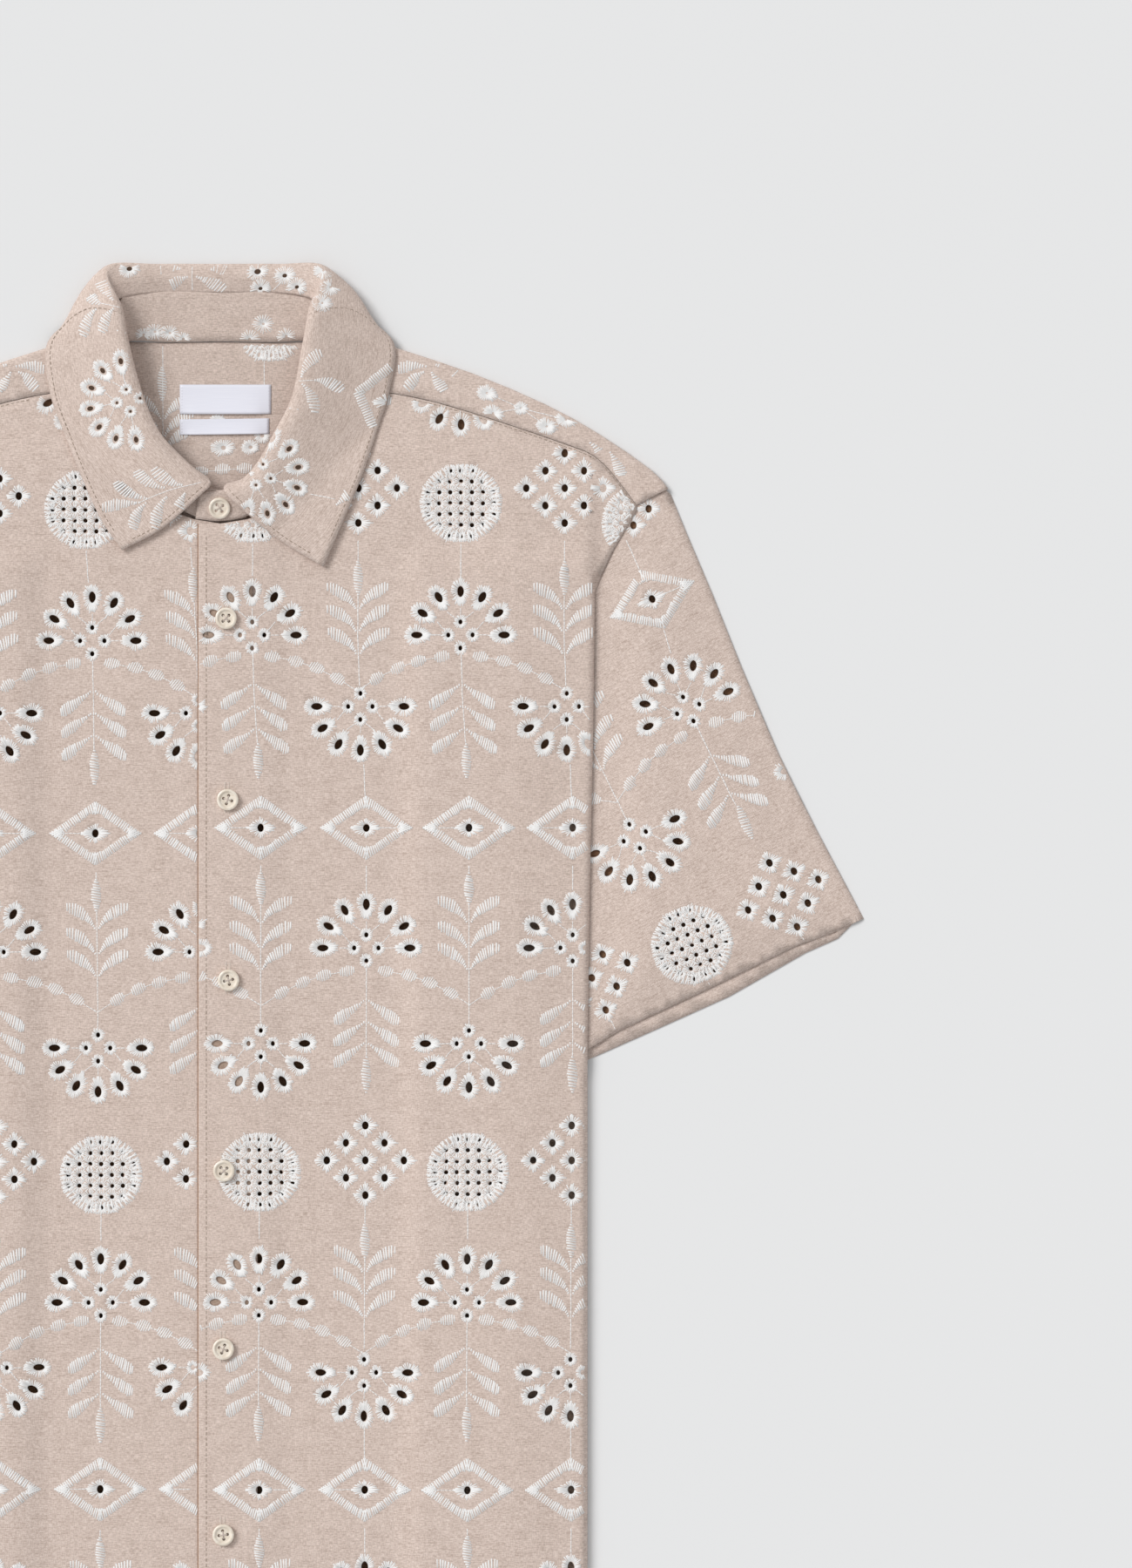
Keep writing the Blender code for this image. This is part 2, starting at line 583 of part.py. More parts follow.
make_back()
_, holes_right = make_front("front_right", 1, front_right_height, COLUMNS_RIGHT, PLACKET_EDGE,
                            lambda x, y: 18 < x < 196)
_, holes_left = make_front("front_left", -1, front_height, COLUMNS_LEFT, UNDERLAP,
                           lambda x, y: -196 < x < -18)
cut = holes_right + holes_left
for hand in (1, -1):
    cut += make_sleeve(hand, True)[1]
    make_sleeve(hand, False)
    make_folded_side(hand)
make_collar()
make_stand()
for number, (bx, by) in enumerate(BUTTONS, 1):
    make_button(f"button_{number}", bx, by, front_right_height(bx, by) + WALL + GAP)
make_button("button_collar", *COLLAR_BUTTON, 9.15, math.atan(3.0 / 16.8))
for label, sides in LABELS.items():
    make_label(label, *sides)
print("holes cut:", cut, "of at most", MOST_HOLES)
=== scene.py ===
# %% [markdown]
# # A cutwork shirt, laid flat
# A short-sleeved linen shirt lies on its back, buttoned to the neck. Its cloth is heathered sand linen,
# covered in off-white embroidery with real holes in it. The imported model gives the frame: every piece made
# here lies where its plain solid lies, so nothing has to be fitted afterwards.

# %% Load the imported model
import math

import bpy
import numpy as np
from mathutils import Matrix, Vector
from mathutils.bvhtree import BVHTree
from mathutils.geometry import delaunay_2d_cdt


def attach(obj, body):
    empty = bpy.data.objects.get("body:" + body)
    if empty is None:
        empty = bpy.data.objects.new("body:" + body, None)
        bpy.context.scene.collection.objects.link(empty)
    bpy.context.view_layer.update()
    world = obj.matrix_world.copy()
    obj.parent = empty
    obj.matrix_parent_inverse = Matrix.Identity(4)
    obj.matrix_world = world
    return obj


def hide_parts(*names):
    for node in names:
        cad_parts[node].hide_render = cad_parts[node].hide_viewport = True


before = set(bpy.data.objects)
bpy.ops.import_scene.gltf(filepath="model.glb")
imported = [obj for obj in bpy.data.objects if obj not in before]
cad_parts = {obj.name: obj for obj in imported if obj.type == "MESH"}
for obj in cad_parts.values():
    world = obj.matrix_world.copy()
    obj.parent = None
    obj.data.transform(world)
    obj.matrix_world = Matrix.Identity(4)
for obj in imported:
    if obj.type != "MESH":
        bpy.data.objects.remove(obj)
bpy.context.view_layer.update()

print("nodes in the frame:", len(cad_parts))

# %% [markdown]
# ## The camera and the light
# A garment laid flat is photographed from straight above. A long lens from 4 m up keeps the picture free of
# perspective, and its frame is placed to the right of the shirt's middle, so that the left side runs out of
# view as it does in the photograph. A wide sun from the upper left is as even as a far softbox, and a white
# surround fills the rest, so the floor is pale to its corners and the shadows are faint.

# %% Set up the camera
MM = 0.001
FRAME_HEIGHT = 864.0
FRAME_CENTRE = (190.1, 94.3)
CAMERA_DISTANCE = 4000.0


def linked(name, data):
    """A new object of the scene, made from its data."""
    obj = bpy.data.objects.new(name, data)
    scene.collection.objects.link(obj)
    return obj


scene = bpy.context.scene
scene.view_settings.view_transform = "Standard"
camera_data = bpy.data.cameras.new("camera")
camera_data.lens = camera_data.sensor_width * CAMERA_DISTANCE / FRAME_HEIGHT
scene.camera = linked("camera", camera_data)
scene.camera.location = Vector((*FRAME_CENTRE, CAMERA_DISTANCE + 5)) * MM
print("frame:", FRAME_HEIGHT, "mm tall")

# %% Light the shirt
SKY_COLOUR = (0.98, 0.99, 1.0, 1)
SKY_STRENGTH = 0.54
SUN_DIRECTION = (2.3, -1.5, -2.45)
SUN_ANGLE = 28.0
SUN_ENERGY = 1.98

world = bpy.data.worlds.new("studio")
world.use_nodes = True
sky = world.node_tree.nodes["Background"]
sky.inputs["Color"].default_value = SKY_COLOUR
sky.inputs["Strength"].default_value = SKY_STRENGTH
scene.world = world

light_data = bpy.data.lights.new("key", "SUN")
light_data.angle = math.radians(SUN_ANGLE)
light_data.energy = SUN_ENERGY
key = linked("key", light_data)
key.rotation_euler = Vector(SUN_DIRECTION).to_track_quat("-Z", "Y").to_euler()
print("sun:", SUN_ENERGY, "sky:", SKY_STRENGTH)

# %% [markdown]
# ## A shorthand for shader maths
# Each finish is a sum of small patterns. Wiring Math nodes by hand hides the sum, so a small class wraps a
# socket and lets Python's own operators add the nodes: `weft * 0.6 + warp * 0.4` reads as what it means.
# Any other node comes from one method, which takes the node's type, its settings and the values or links of
# its sockets.


# %% Wrap sockets so that expressions make nodes
class Wave:
    """A number that changes over a surface: the output socket of a node."""

    def __init__(self, tree, socket):
        self.tree, self.socket = tree, socket

    def maths(self, operation, *values):
        node = self.tree.nodes.new("ShaderNodeMath")
        node.operation = operation
        for slot, value in zip(node.inputs, values):
            plug(slot, value)
        return Wave(self.tree, node.outputs[0])

    def __add__(self, other):
        return self.maths("ADD", self, other)

    def __sub__(self, other):
        return self.maths("SUBTRACT", self, other)

    def __rsub__(self, other):
        return self.maths("SUBTRACT", other, self)

    def __mul__(self, other):
        return self.maths("MULTIPLY", self, other)

    def sine(self):
        return self.maths("SINE", self)

    def between(self, low, high):
        """0 below `low`, 1 above `high`."""
        node = self.tree.nodes.new("ShaderNodeMapRange")
        node.interpolation_type = "SMOOTHSTEP"
        for slot, value in (("Value", self), ("From Min", low), ("From Max", high)):
            plug(node.inputs[slot], value)
        return Wave(self.tree, node.outputs["Result"])

    __radd__ = __add__
    __rmul__ = __mul__


def plug(slot, value):
    """Gives a socket a link from another node, or a constant."""
    if isinstance(value, Wave):
        value.tree.links.new(value.socket, slot)
    else:
        slot.default_value = value


# %% Hold a material and its nodes
class Finish:
    """A material with its Principled shader, and one method that makes any node in it."""

    def __init__(self, name, **constants):
        self.material = bpy.data.materials.new(name)
        self.material.use_nodes = True
        self.tree = self.material.node_tree
        self.shader = self.tree.nodes["Principled BSDF"]
        self.wire(**constants)

    def node(self, kind, settings=None, output=0, **sockets):
        """Any node. A socket goes by its name, or by `n` and its number."""
        node = self.tree.nodes.new("ShaderNode" + kind)
        for key, value in (settings or {}).items():
            setattr(node, key, value)
        for name, value in sockets.items():
            numbered = name[0] == "n" and name[1:].isdigit()
            plug(node.inputs[int(name[1:]) if numbered else name.replace("_", " ")], value)
        return Wave(self.tree, node.outputs[output])

    def stretched(self, place, across, along, detail=2.0):
        """Noise in long marks: `across` and `along` are how many marks there are in a metre each way."""
        scaled = self.node("VectorMath", {"operation": "MULTIPLY"}, n0=place, n1=(across, along, 1.0))
        return self.node("TexNoise", {"noise_dimensions": "2D"}, Vector=scaled, Scale=1.0, Detail=detail)

    def mix(self, share, first, second):
        return self.node("Mix", {"data_type": "RGBA"}, 2, n0=share, n6=first, n7=second)

    def bump(self, height, strength, distance):
        return self.node("Bump", Height=height, Strength=strength, Distance=distance)

    def wire(self, **sockets):
        """Sets or links the shader's own sockets, and gives the material."""
        for name, value in sockets.items():
            plug(self.shader.inputs[name.replace("_", " ")], value)
        return self.material


# %% [markdown]
# ## The linen
# Linen yarn is uneven: thick places and darker fibres show as short streaks along the weft and the warp.
# Two stretched noises, one each way, make the streaks. Sparser ones add slubs, which are long dark yarns,
# and dark specks, and a coarse one shifts the tone from place to place. All read each piece's own UV map,
# laid out in metres of cloth, so that the grain turns with a sleeve and follows the collar. The weave
# itself is a fine bump of two crossed waves.

# %% Make the linen
WEAVE_PITCH = 0.00052


def linen(name, pale, dark, shade=(1.0, 1.0, 1.0)):
    cloth = Finish(name, Roughness=0.9, Sheen_Weight=0.12, Sheen_Roughness=0.5, Specular_IOR_Level=0.25)
    place = cloth.node("UVMap", {"uv_map": "cloth"})
    weft = cloth.stretched(place, 420.0, 2100.0, 3.0).between(0.34, 0.66)
    warp = cloth.stretched(place, 2100.0, 480.0, 3.0).between(0.34, 0.66)
    slub = cloth.stretched(place, 75.0, 1400.0).between(0.54, 0.70)
    drift = cloth.stretched(place, 110.0, 130.0).between(0.3, 0.7)
    speck = cloth.stretched(place, 900.0, 1100.0).between(0.70, 0.76)
    grain = weft * 0.48 + warp * 0.32 + drift * 0.12 + 0.11 - slub * 0.26 - speck * 0.4
    dark, pale = (tuple(c * k for c, k in zip(tone, shade)) + (1,) for tone in (dark, pale))
    colour = cloth.mix(grain, dark, pale)
    across, up = (cloth.node("SeparateXYZ", output=axis, Vector=place) for axis in (0, 1))
    weave = (across * (math.pi / WEAVE_PITCH)).sine() * (up * (math.pi / WEAVE_PITCH)).sine()
    height = weave * 0.35 + weft * 0.5 + warp * 0.4
    return cloth.wire(Base_Color=colour, Normal=cloth.bump(height, 0.55, 0.00018))


PALE, DARK = (0.83, 0.69, 0.615), (0.50, 0.385, 0.325)
linen_face = linen("linen_face", PALE, DARK)
# Painted shade: a dark brown copy of the linen for inner faces and for cloth under other layers, so that
# eyelets look dark.
linen_painted_shade = linen("linen_painted_shade", PALE, DARK, (0.42, 0.28, 0.18))
# Painted shade, lighter: for the placket's facing and for part of the back's inner face.
linen_shaded = linen("linen_shaded", PALE, DARK, (0.62, 0.56, 0.50))
# A little painted shade: for the back's inner face inside the neck and for the band.
linen_neck_painted_shade = linen("linen_neck_painted_shade", PALE, DARK, (0.95, 0.95, 0.95))
# Painted deep shade: the dark ovals in the collar's eyelets.
linen_painted_deep_shade = linen("linen_painted_deep_shade", PALE, DARK, (0.12, 0.085, 0.06))
print("weave:", round(0.01 / WEAVE_PITCH), "threads to the centimetre")

# %% [markdown]
# ## The cut of the panels
# The outlines are the ones the solids have, in millimetres, for the shirt's right-hand side as seen from
# above. The left side mirrors them. Each is a list of corners, and a smooth curve runs through those that
# need one.

# %% Write down the panels' outlines
LENGTH = 762.0
HEM = -LENGTH / 2
WALL = 1.2
GAP = 0.3
LAYER = WALL + GAP
BODY_HALF_WIDTH = 202.0
PLACKET_EDGE = -13.0
UNDERLAP = 20.0
CLOTH = 0.6  # thickness of the linen
BACK_CLOTH = 0.8
SLEEVE_TILT = math.radians(23.5)

NECK_BACK = [(0, 338), (30, 337.6), (52, 338), (64, 340.5)]
NECK_FRONT = [(0, 238), (22, 243), (42, 260), (56, 284), (61, 300), (62, 315)]
SHOULDER_FOLD = [(72, 340.5), (96, 333), (138, 319), (178, 302), (207, 286), (236, 266), (245, 256)]
SHOULDER_SEAM = [(62, 316), (93, 310), (118, 305), (154, 294), (192, 281), (206, 275), (217, 264), (229, 248)]
ARMHOLE = [(229, 245), (216, 223), (209, 208)]
ABOVE_ARMHOLE = 212.0  # here a front runs out past its side fold to the armhole
SLEEVE_FOLD = [(248, 254), (257, 232), (271, 199), (287, 159), (308, 110), (329, 68), (354.5, 20)]
SLEEVE_HEM = [(354, 19.5), (335, 11.5), (317, 5), (268, -19), (219, -42), (204, -51), (168, -68)]
SLEEVE_HEM_UNDER = [(340, 9), (322, 1), (280, -23), (240, -41), (204, -57), (172, -72)]
SLEEVE_INNER = [(168, -68), (160, 30), (164, 110), (182, 170), (209, 207)]
print("shirt:", LENGTH, "mm long,", 2 * BODY_HALF_WIDTH, "mm between its side folds")

# %% [markdown]
# ## How high the cloth lies
# Where a panel is not flat, a height function says how high its face lies: fuller in the middle, rolled
# down at a fold, raised over what lies beneath. Soft creases and slight ripples are added where the cloth
# lies free. A crease is a row with the x and y of each end, its depth, which is negative for a trough, and
# its width.

# %% Write down the creases
FULLNESS = 3.2  # how far the fronts stand off the back in the middle
FOLD_RISE = 1.0
CREASES = [
    (197, 190, 192, 20, 0.9, 7), (188, 180, 183, 40, -0.5, 9), (150, 268, 110, 190, -0.5, 9),
    (96, 232, 60, 150, 0.6, 12), (30, 205, 52, 120, -0.45, 10), (168, 60, 120, -30, 0.5, 14),
    (60, -60, 110, -130, -0.45, 12), (172, -150, 190, -260, 0.6, 9), (20, -250, 70, -300, 0.4, 12),
    (-40, 190, -70, 110, 0.5, 11), (-90, 236, -130, 160, -0.5, 10), (-60, -20, -120, -80, 0.5, 14),
    (-150, 120, -185, 20, -0.5, 10), (-30, -160, -80, -230, -0.5, 11), (-170, -140, -188, -270, 0.6, 9),
]
SLEEVE_CREASES = [
    (222, 200, 262, 120, -0.6, 9), (250, 205, 300, 90, 0.7, 12), (225, 120, 250, 20, 0.6, 11),
    (262, 60, 300, 10, -0.5, 9), (214, 90, 212, -20, -0.6, 6),
]
print("creases:", len(CREASES), "in the fronts,", len(SLEEVE_CREASES), "in each sleeve")


# %% Add up the creases and the ripples
def smooth(t):
    t = np.clip(t, 0.0, 1.0)
    return t * t * (3 - 2 * t)


def rounded(inset, radius):
    """How far a fold has come up at an inset from its outer edge: 0 at the edge, 1 past its radius."""
    return np.sqrt(1 - np.clip(1 - inset / radius, 0.0, 0.999) ** 2)


def distance_to(path, x, y):
    """The shortest way from each point to a path."""
    best = np.full(np.shape(x), 1e9)
    for (ax, ay), (bx, by) in zip(path, path[1:]):
        dx, dy = bx - ax, by - ay
        along = np.clip(((x - ax) * dx + (y - ay) * dy) / max(dx * dx + dy * dy, 1e-9), 0, 1)
        best = np.minimum(best, np.hypot(x - ax - along * dx, y - ay - along * dy))
    return best


def creased(rows, x, y):
    """The height that the soft creases add."""
    total = np.zeros(np.shape(x))
    for ax, ay, bx, by, depth, width in rows:
        dx, dy = bx - ax, by - ay
        long = math.hypot(dx, dy)
        along = ((x - ax) * dx + (y - ay) * dy) / long**2
        bow = 0.06 * long * np.sin(math.pi * along)
        off = ((x - ax) * dy - (y - ay) * dx) / long + bow
        total += depth * np.exp(-((off / width) ** 2)) * smooth(along / 0.35) * smooth((1 - along) / 0.35)
    return total


def ripples(x, y):
    """The slight unevenness of cloth that was never pressed quite flat."""
    return (0.16 * np.sin(x / 17.0 + 1.3 * np.sin(y / 41.0)) * np.sin(y / 29.0 + np.sin(x / 37.0))
            + 0.10 * np.sin(x / 9.0 + y / 13.0 + 2 * np.sin(y / 57.0)))


# %% Say how high each panel lies
def lift(x, y):
    """How far the layers folded under each side raise the body over them."""
    return 2 * LAYER * smooth((np.abs(x) - 94) / 19) * smooth((232 - y) / 24)


def side_edge(y):
    return BODY_HALF_WIDTH + 4 * smooth((y + 60) / 260)


def seam_line(x):
    return np.interp(np.abs(x), *np.array(SHOULDER_SEAM, float).T)


def overlap(x):
    """The extra layer where the right-hand front lies over the left one."""
    return LAYER * (1 - smooth((x - UNDERLAP - 2) / 16))


def front_top(x, y):
    """The outer face of a front."""
    free = smooth((seam_line(x) - y) / 50) * smooth((y - HEM) / 60) * smooth((204 - np.abs(x)) / 45)
    full = (FULLNESS + creased(CREASES, x, y) + ripples(x, y)) * free
    top = LAYER + lift(x, y) + FOLD_RISE + WALL + full
    settled = smooth((-58 - y) / 14)  # the edge comes down to the floor below the sleeve
    edge = (1 - settled) * (LAYER + WALL + CLOTH + 0.15) + settled * GAP
    rolled = (top - edge) * (1 - rounded(side_edge(y) - np.abs(x), 3.8)) * smooth((275 - y) / 40)
    fold = smooth((206.5 - np.abs(x)) / 2.5) * np.exp(-(((206 - np.abs(x)) / 24) ** 2))
    return top - rolled + 2.0 * fold * smooth((y - 196) / 16) * smooth((282 - y) / 36)


def front_right_top(x, y):
    """The right-hand front lies on the left one, and its folded edge rolls down at the placket."""
    top = front_top(x, y) + overlap(x)
    return top - 1.1 * (1 - rounded(x - PLACKET_EDGE, 1.3))


def sleeve_top(x, y):
    """The outer face of a sleeve's upper layer."""
    x = np.abs(x)
    from_fold = distance_to(SLEEVE_FOLD, x, y)
    from_body = np.where(y < 208, x - side_edge(y), distance_to(ARMHOLE + [(248, 254)], x, y))
    from_hem = distance_to(SLEEVE_HEM, x, y)
    free = smooth((from_body - 3) / 30) * smooth(from_fold / 40) * smooth((from_hem + 3) / 34)
    full = LAYER + WALL + (FULLNESS - 0.4 + creased(SLEEVE_CREASES, x, y) + ripples(x, y)) * free
    full -= 1.0 * smooth((14 - from_hem) / 14) * smooth((from_body - 3) / 12)
    return full * rounded(from_fold, 4.5)


def level(height):
    """A height function for a piece that lies flat."""
    return lambda x, y: np.full(np.shape(x), height)


on_floor = level(CLOTH + 0.05)
print("front:", round(float(front_top(100.0, 0.0)), 1), "mm high beside the placket")

# %% [markdown]
# ## Cloth with real holes
# The holes of cutwork could be painted, but they catch the light on their edges and show what lies beneath,
# so they are cut. A constrained Delaunay triangulation takes the outline, every hole and every fold line as
# edges that it must keep, and fills the rest with an even grid. The flat panel is then raised to its
# height, gets a UV map in metres of cloth, and Solidify gives it the thickness of linen.


# %% Draw and measure outlines
def curve(points, steps):
    """Points on a smooth curve through the given ones."""
    points = [Vector(p) for p in points]
    ends = [2 * points[0] - points[1], *points, 2 * points[-1] - points[-2]]
    found = []
    for a, b, c, d in zip(ends, ends[1:], ends[2:], ends[3:]):
        for i in range(steps):
            t = i / steps
            bend = (2 * a - 5 * b + 4 * c - d) * t**2 + (3 * b - a - 3 * c + d) * t**3
            found.append(0.5 * (2 * b + (c - a) * t + bend))
    return [*found, points[-1]]


def plain(points):
    return [tuple(p) for p in points]


def on_side(points, side):
    return [(side * p[0], *p[1:]) for p in points]


def inside(loop, x, y):
    """Whether each point lies in a closed outline."""
    found = np.zeros(np.shape(x), bool)
    for (ax, ay), (bx, by) in zip(loop, loop[1:] + loop[:1]):
        if ay != by:
            crosses = ((ay > y) != (by > y)) & (x < ax + (y - ay) / (by - ay) * (bx - ax))
            found ^= crosses
    return found


def divided(path, most, closed=True):
    """A path with its long stretches divided."""
    found = []
    for a, b in zip(path, path[1:] + path[:1] if closed else path[1:]):
        parts = max(1, math.ceil(math.dist(a, b) / most))
        found += [(a[0] + (b[0] - a[0]) * i / parts, a[1] + (b[1] - a[1]) * i / parts) for i in range(parts)]
    return found if closed else found + [tuple(path[-1])]


def area_of(loop):
    """The area of a closed outline, in square metres."""
    x, y = np.array(loop, float).T
    return abs(float(np.sum(x * np.roll(y, -1) - y * np.roll(x, -1)))) / 2 * MM**2


def turned(points, turn, x=0.0, y=0.0):
    """Flat points turned about the origin, and then moved."""
    c, s = math.cos(turn), math.sin(turn)
    return points @ np.array([[c, s], [-s, c]]) + (x, y)


def ellipse(long, wide, turns):
    """Points in the given directions on an ellipse."""
    return np.column_stack([long / 2 * np.cos(turns), wide / 2 * np.sin(turns)])


# %% Triangulate a panel
HOLE_SIDES = 12
HOLE_TURNS = np.arange(HOLE_SIDES) * math.tau / HOLE_SIDES


def triangulated(outline, holes, lines, spacing):
    """A flat panel: its points, and its triangles as rows of three numbers."""
    rim = divided(outline, spacing)
    points, edges = list(rim), [(i, (i + 1) % len(rim)) for i in range(len(rim))]
    for hx, hy, long, wide, turn in holes:
        first = len(points)
        points += turned(ellipse(long, wide, HOLE_TURNS), turn, hx, hy).tolist()
        edges += [(first + i, first + (i + 1) % HOLE_SIDES) for i in range(HOLE_SIDES)]
    for line in lines:
        line = divided(line, spacing, closed=False)
        first = len(points)
        points += line
        edges += [(first + i, first + i + 1) for i in range(len(line) - 1)]
    (left, low), (right, high) = np.min(rim, axis=0), np.max(rim, axis=0)
    gx, gy = np.meshgrid(np.arange(left + spacing / 2, right, spacing), np.arange(low, high, spacing))
    gx = (gx + spacing / 2 * (np.arange(len(gx)) % 2)[:, None]).ravel()
    gy = gy.ravel()
    keep = inside(rim, gx, gy) & (distance_to(rim + rim[:1], gx, gy) > spacing * 0.45)
    for line in lines:
        keep &= distance_to(line, gx, gy) > spacing * 0.3
    for hx, hy, long, *_ in holes:
        keep &= np.hypot(gx - hx, gy - hy) > long / 2 + 0.9
    points += zip(gx[keep], gy[keep])
    found, _, faces, *_ = delaunay_2d_cdt([Vector(p) for p in points], edges, [], 0, 1e-3)
    places = np.array([tuple(p) for p in found])
    faces = np.array([f for f in faces if len(f) == 3])
    middles = places[faces].mean(axis=1)
    keep = inside(rim, *middles.T)
    for hx, hy, long, wide, turn in holes:
        along, aside = turned(middles - (hx, hy), -turn).T
        keep &= (along / (long / 2)) ** 2 + (aside / (wide / 2)) ** 2 > 0.97
    faces = faces[keep]
    a, b, c = (places[faces[:, i]] for i in range(3))
    doubled_area = (b - a)[:, 0] * (c - a)[:, 1] - (b - a)[:, 1] * (c - a)[:, 0]
    faces[doubled_area < 0] = faces[doubled_area < 0][:, ::-1]
    faces = faces[np.abs(doubled_area) > 0.02]
    used, renamed = np.unique(faces, return_inverse=True)
    return places[used], renamed.reshape(faces.shape)


# %% Raise a panel and give it its thickness
def cloth_mesh(name, points, faces, laid):
    """A sheet from points in millimetres. Its UV map is the cloth laid flat, in metres."""
    mesh = bpy.data.meshes.new(name)
    mesh.from_pydata(points * MM, [], faces.tolist())
    corners = np.zeros(len(mesh.loops), int)
    mesh.loops.foreach_get("vertex_index", corners)
    mesh.uv_layers.new(name="cloth").data.foreach_set("uv", (laid * MM)[corners].ravel())
    return linked(name, mesh)


def panel(name, outline, top, holes=(), lines=(), spacing=5.0, grain=0.0, underside=False):
    """A flat outline, filled, raised to its height and laid out along its grain."""
    places, faces = triangulated(outline, holes, lines, spacing)
    if underside:
        faces = faces[:, ::-1]
    return cloth_mesh(name, np.column_stack([places, top(*places.T)]), faces, turned(places, -grain))


def select(*objects):
    """Selects these objects alone. The first is the active one."""
    bpy.ops.object.select_all(action="DESELECT")
    for obj in objects:
        obj.select_set(True)
    bpy.context.view_layer.objects.active = objects[0]


def joined(*objects):
    select(*objects)
    bpy.ops.object.join()
    return objects[0]


def apply_modifiers(obj):
    select(obj)
    for modifier in list(obj.modifiers):
        bpy.ops.object.modifier_apply(modifier=modifier.name)


def sewn(obj, nodes, outside, inner=None, thickness=CLOTH, offset=-1.0):
    """Gives a sheet its thickness and finishes, and puts it in the place of its solid."""
    obj.data.materials.append(outside)
    obj.data.materials.append(inner or outside)
    wall = obj.modifiers.new("cloth", "SOLIDIFY")
    wall.thickness = thickness * MM
    wall.offset = offset
    wall.material_offset = 1
    apply_modifiers(obj)
    obj.data.shade_smooth()
    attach(obj, "root")
    if nodes:
        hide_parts(*nodes)
    print(obj.name, len(obj.data.polygons), "faces")
    return obj


def painted_shade_on(obj, finish, chosen):
    """Paints shade on the faces that `chosen` picks by their middles, in mm, and upward normals, by giving
    them a darker finish.
    """
    count = len(obj.data.polygons)
    middles, normals, slots = np.zeros((count, 3)), np.zeros((count, 3)), np.zeros(count, int)
    obj.data.polygons.foreach_get("center", middles.ravel())
    obj.data.polygons.foreach_get("normal", normals.ravel())
    obj.data.polygons.foreach_get("material_index", slots)
    obj.data.materials.append(finish)
    slots[chosen(*middles.T / MM, normals[:, 2])] = len(obj.data.materials) - 1
    obj.data.polygons.foreach_set("material_index", slots)


# %% [markdown]
# ## Where the holes and the motifs are
# The embroidery repeats in columns 57.6 mm apart. Disc columns and lozenge columns alternate, and each
# repeat is 365 mm tall. The same tables place the holes in the cloth and, later, the stitches round them.

# %% Chart the repeat
REPEAT = 365.0
DISC_ROW = 248.4
DIAMOND_DROP = 181.0
COLUMNS_RIGHT = {"disc": [19.7, 134.4], "lozenge": [-37.9, 77.8, 191.5]}
COLUMNS_LEFT = {"disc": [-68.2, -184.0], "lozenge": [-10.6, -126.2]}
COLUMNS_SLEEVE = {"disc": [-57.5, 57.5], "lozenge": [0.0, -115.0]}
SLEEVE_DIAMOND = (237.6, 196.1)
PALMETTES = {"disc": [("crown", 71.5, 1), ("foot", 297.0, -1)],
             "lozenge": [("neck", 111.4, -1), ("base", 244.4, 1)]}
PETALS = 7
PETAL_RING = 24.0
PETAL_HOLE = (6.6, 3.9)
BUD_HOLE = 2.3
BUDS = [(0.0, 7.2), (6.7, 0.0), (-6.7, 0.0), (0.0, -7.2)]
LOZENGE_STEP = (10.6, 9.6)
LOZENGE_HOLE = (4.6, 3.7)
NET_PITCH = 6.0
NET_ROWS = {3: 1, 2: 2, 1: 3, 0: 3, -1: 3, -2: 2, -3: 1}
NET_HOLE = 2.5
EYE_HOLE = (4.7, 3.8)
print("repeat:", REPEAT, "mm;", PETALS, "petals in a palmette,", len(BUDS), "buds")


# %% Place the motifs
def motifs(columns, rows, lean):
    """Every motif of the repeat as kind, x, y and which way up it stands.

    A row gives its height, and how far each kind lies from its place in the repeat. `lean` says how far the
    columns lie to the right at a few heights."""
    found = []
    for row, nudges in rows:
        def place(kind, x, drop, up=1, name=None):
            y = row - drop + nudges.get(name or kind, nudges.get("all", 0.0))
            found.append((kind, x + float(np.interp(y, *zip(*lean))), y, up))

        for kind, places in columns.items():
            for x in places:
                place(kind, x, 0.0)
                for name, drop, up in PALMETTES[kind]:
                    place("palmette", x, drop, up, name)
                place("diamond", x, DIAMOND_DROP)
                found.append(("stems_" + kind, x, row + nudges.get("all", 0.0), lean))
    return found


# %% Place the holes
def holes_of(kind, x, y, up):
    """The holes of one motif: x, y, length, width and the turn of the length."""
    if kind == "palmette":
        turns = [math.pi * i / (PETALS - 1) * up for i in range(PETALS)]
        petals = [(x + PETAL_RING * math.cos(t), y + PETAL_RING * math.sin(t), *PETAL_HOLE, t) for t in turns]
        return petals + [(x + bx, y + by, BUD_HOLE + 0.5, BUD_HOLE, math.pi / 2) for bx, by in BUDS]
    if kind == "lozenge":
        steps = [(i - j, i + j - 2) for i in range(3) for j in range(3)]
        return [(x + i * LOZENGE_STEP[0], y + j * LOZENGE_STEP[1], *LOZENGE_HOLE, math.pi / 2)
                for i, j in steps]
    if kind == "disc":
        return [(x + i * NET_PITCH, y + j * NET_PITCH, NET_HOLE, NET_HOLE, 0.0)
                for j, half in NET_ROWS.items() for i in range(-half, half + 1)]
    if kind == "diamond":
        return [(x, y, *EYE_HOLE, math.pi / 2)]
    return []


def from_sleeve(side, u, v):
    """A point of the sleeve's own pattern, given from its upper diamond."""
    c, s = math.cos(SLEEVE_TILT), math.sin(SLEEVE_TILT)
    return side * (SLEEVE_DIAMOND[0] + u * c - v * s), SLEEVE_DIAMOND[1] + u * s + v * c


HOLE_MARGIN = 4.5  # how far the middle of a hole keeps from a panel's edge


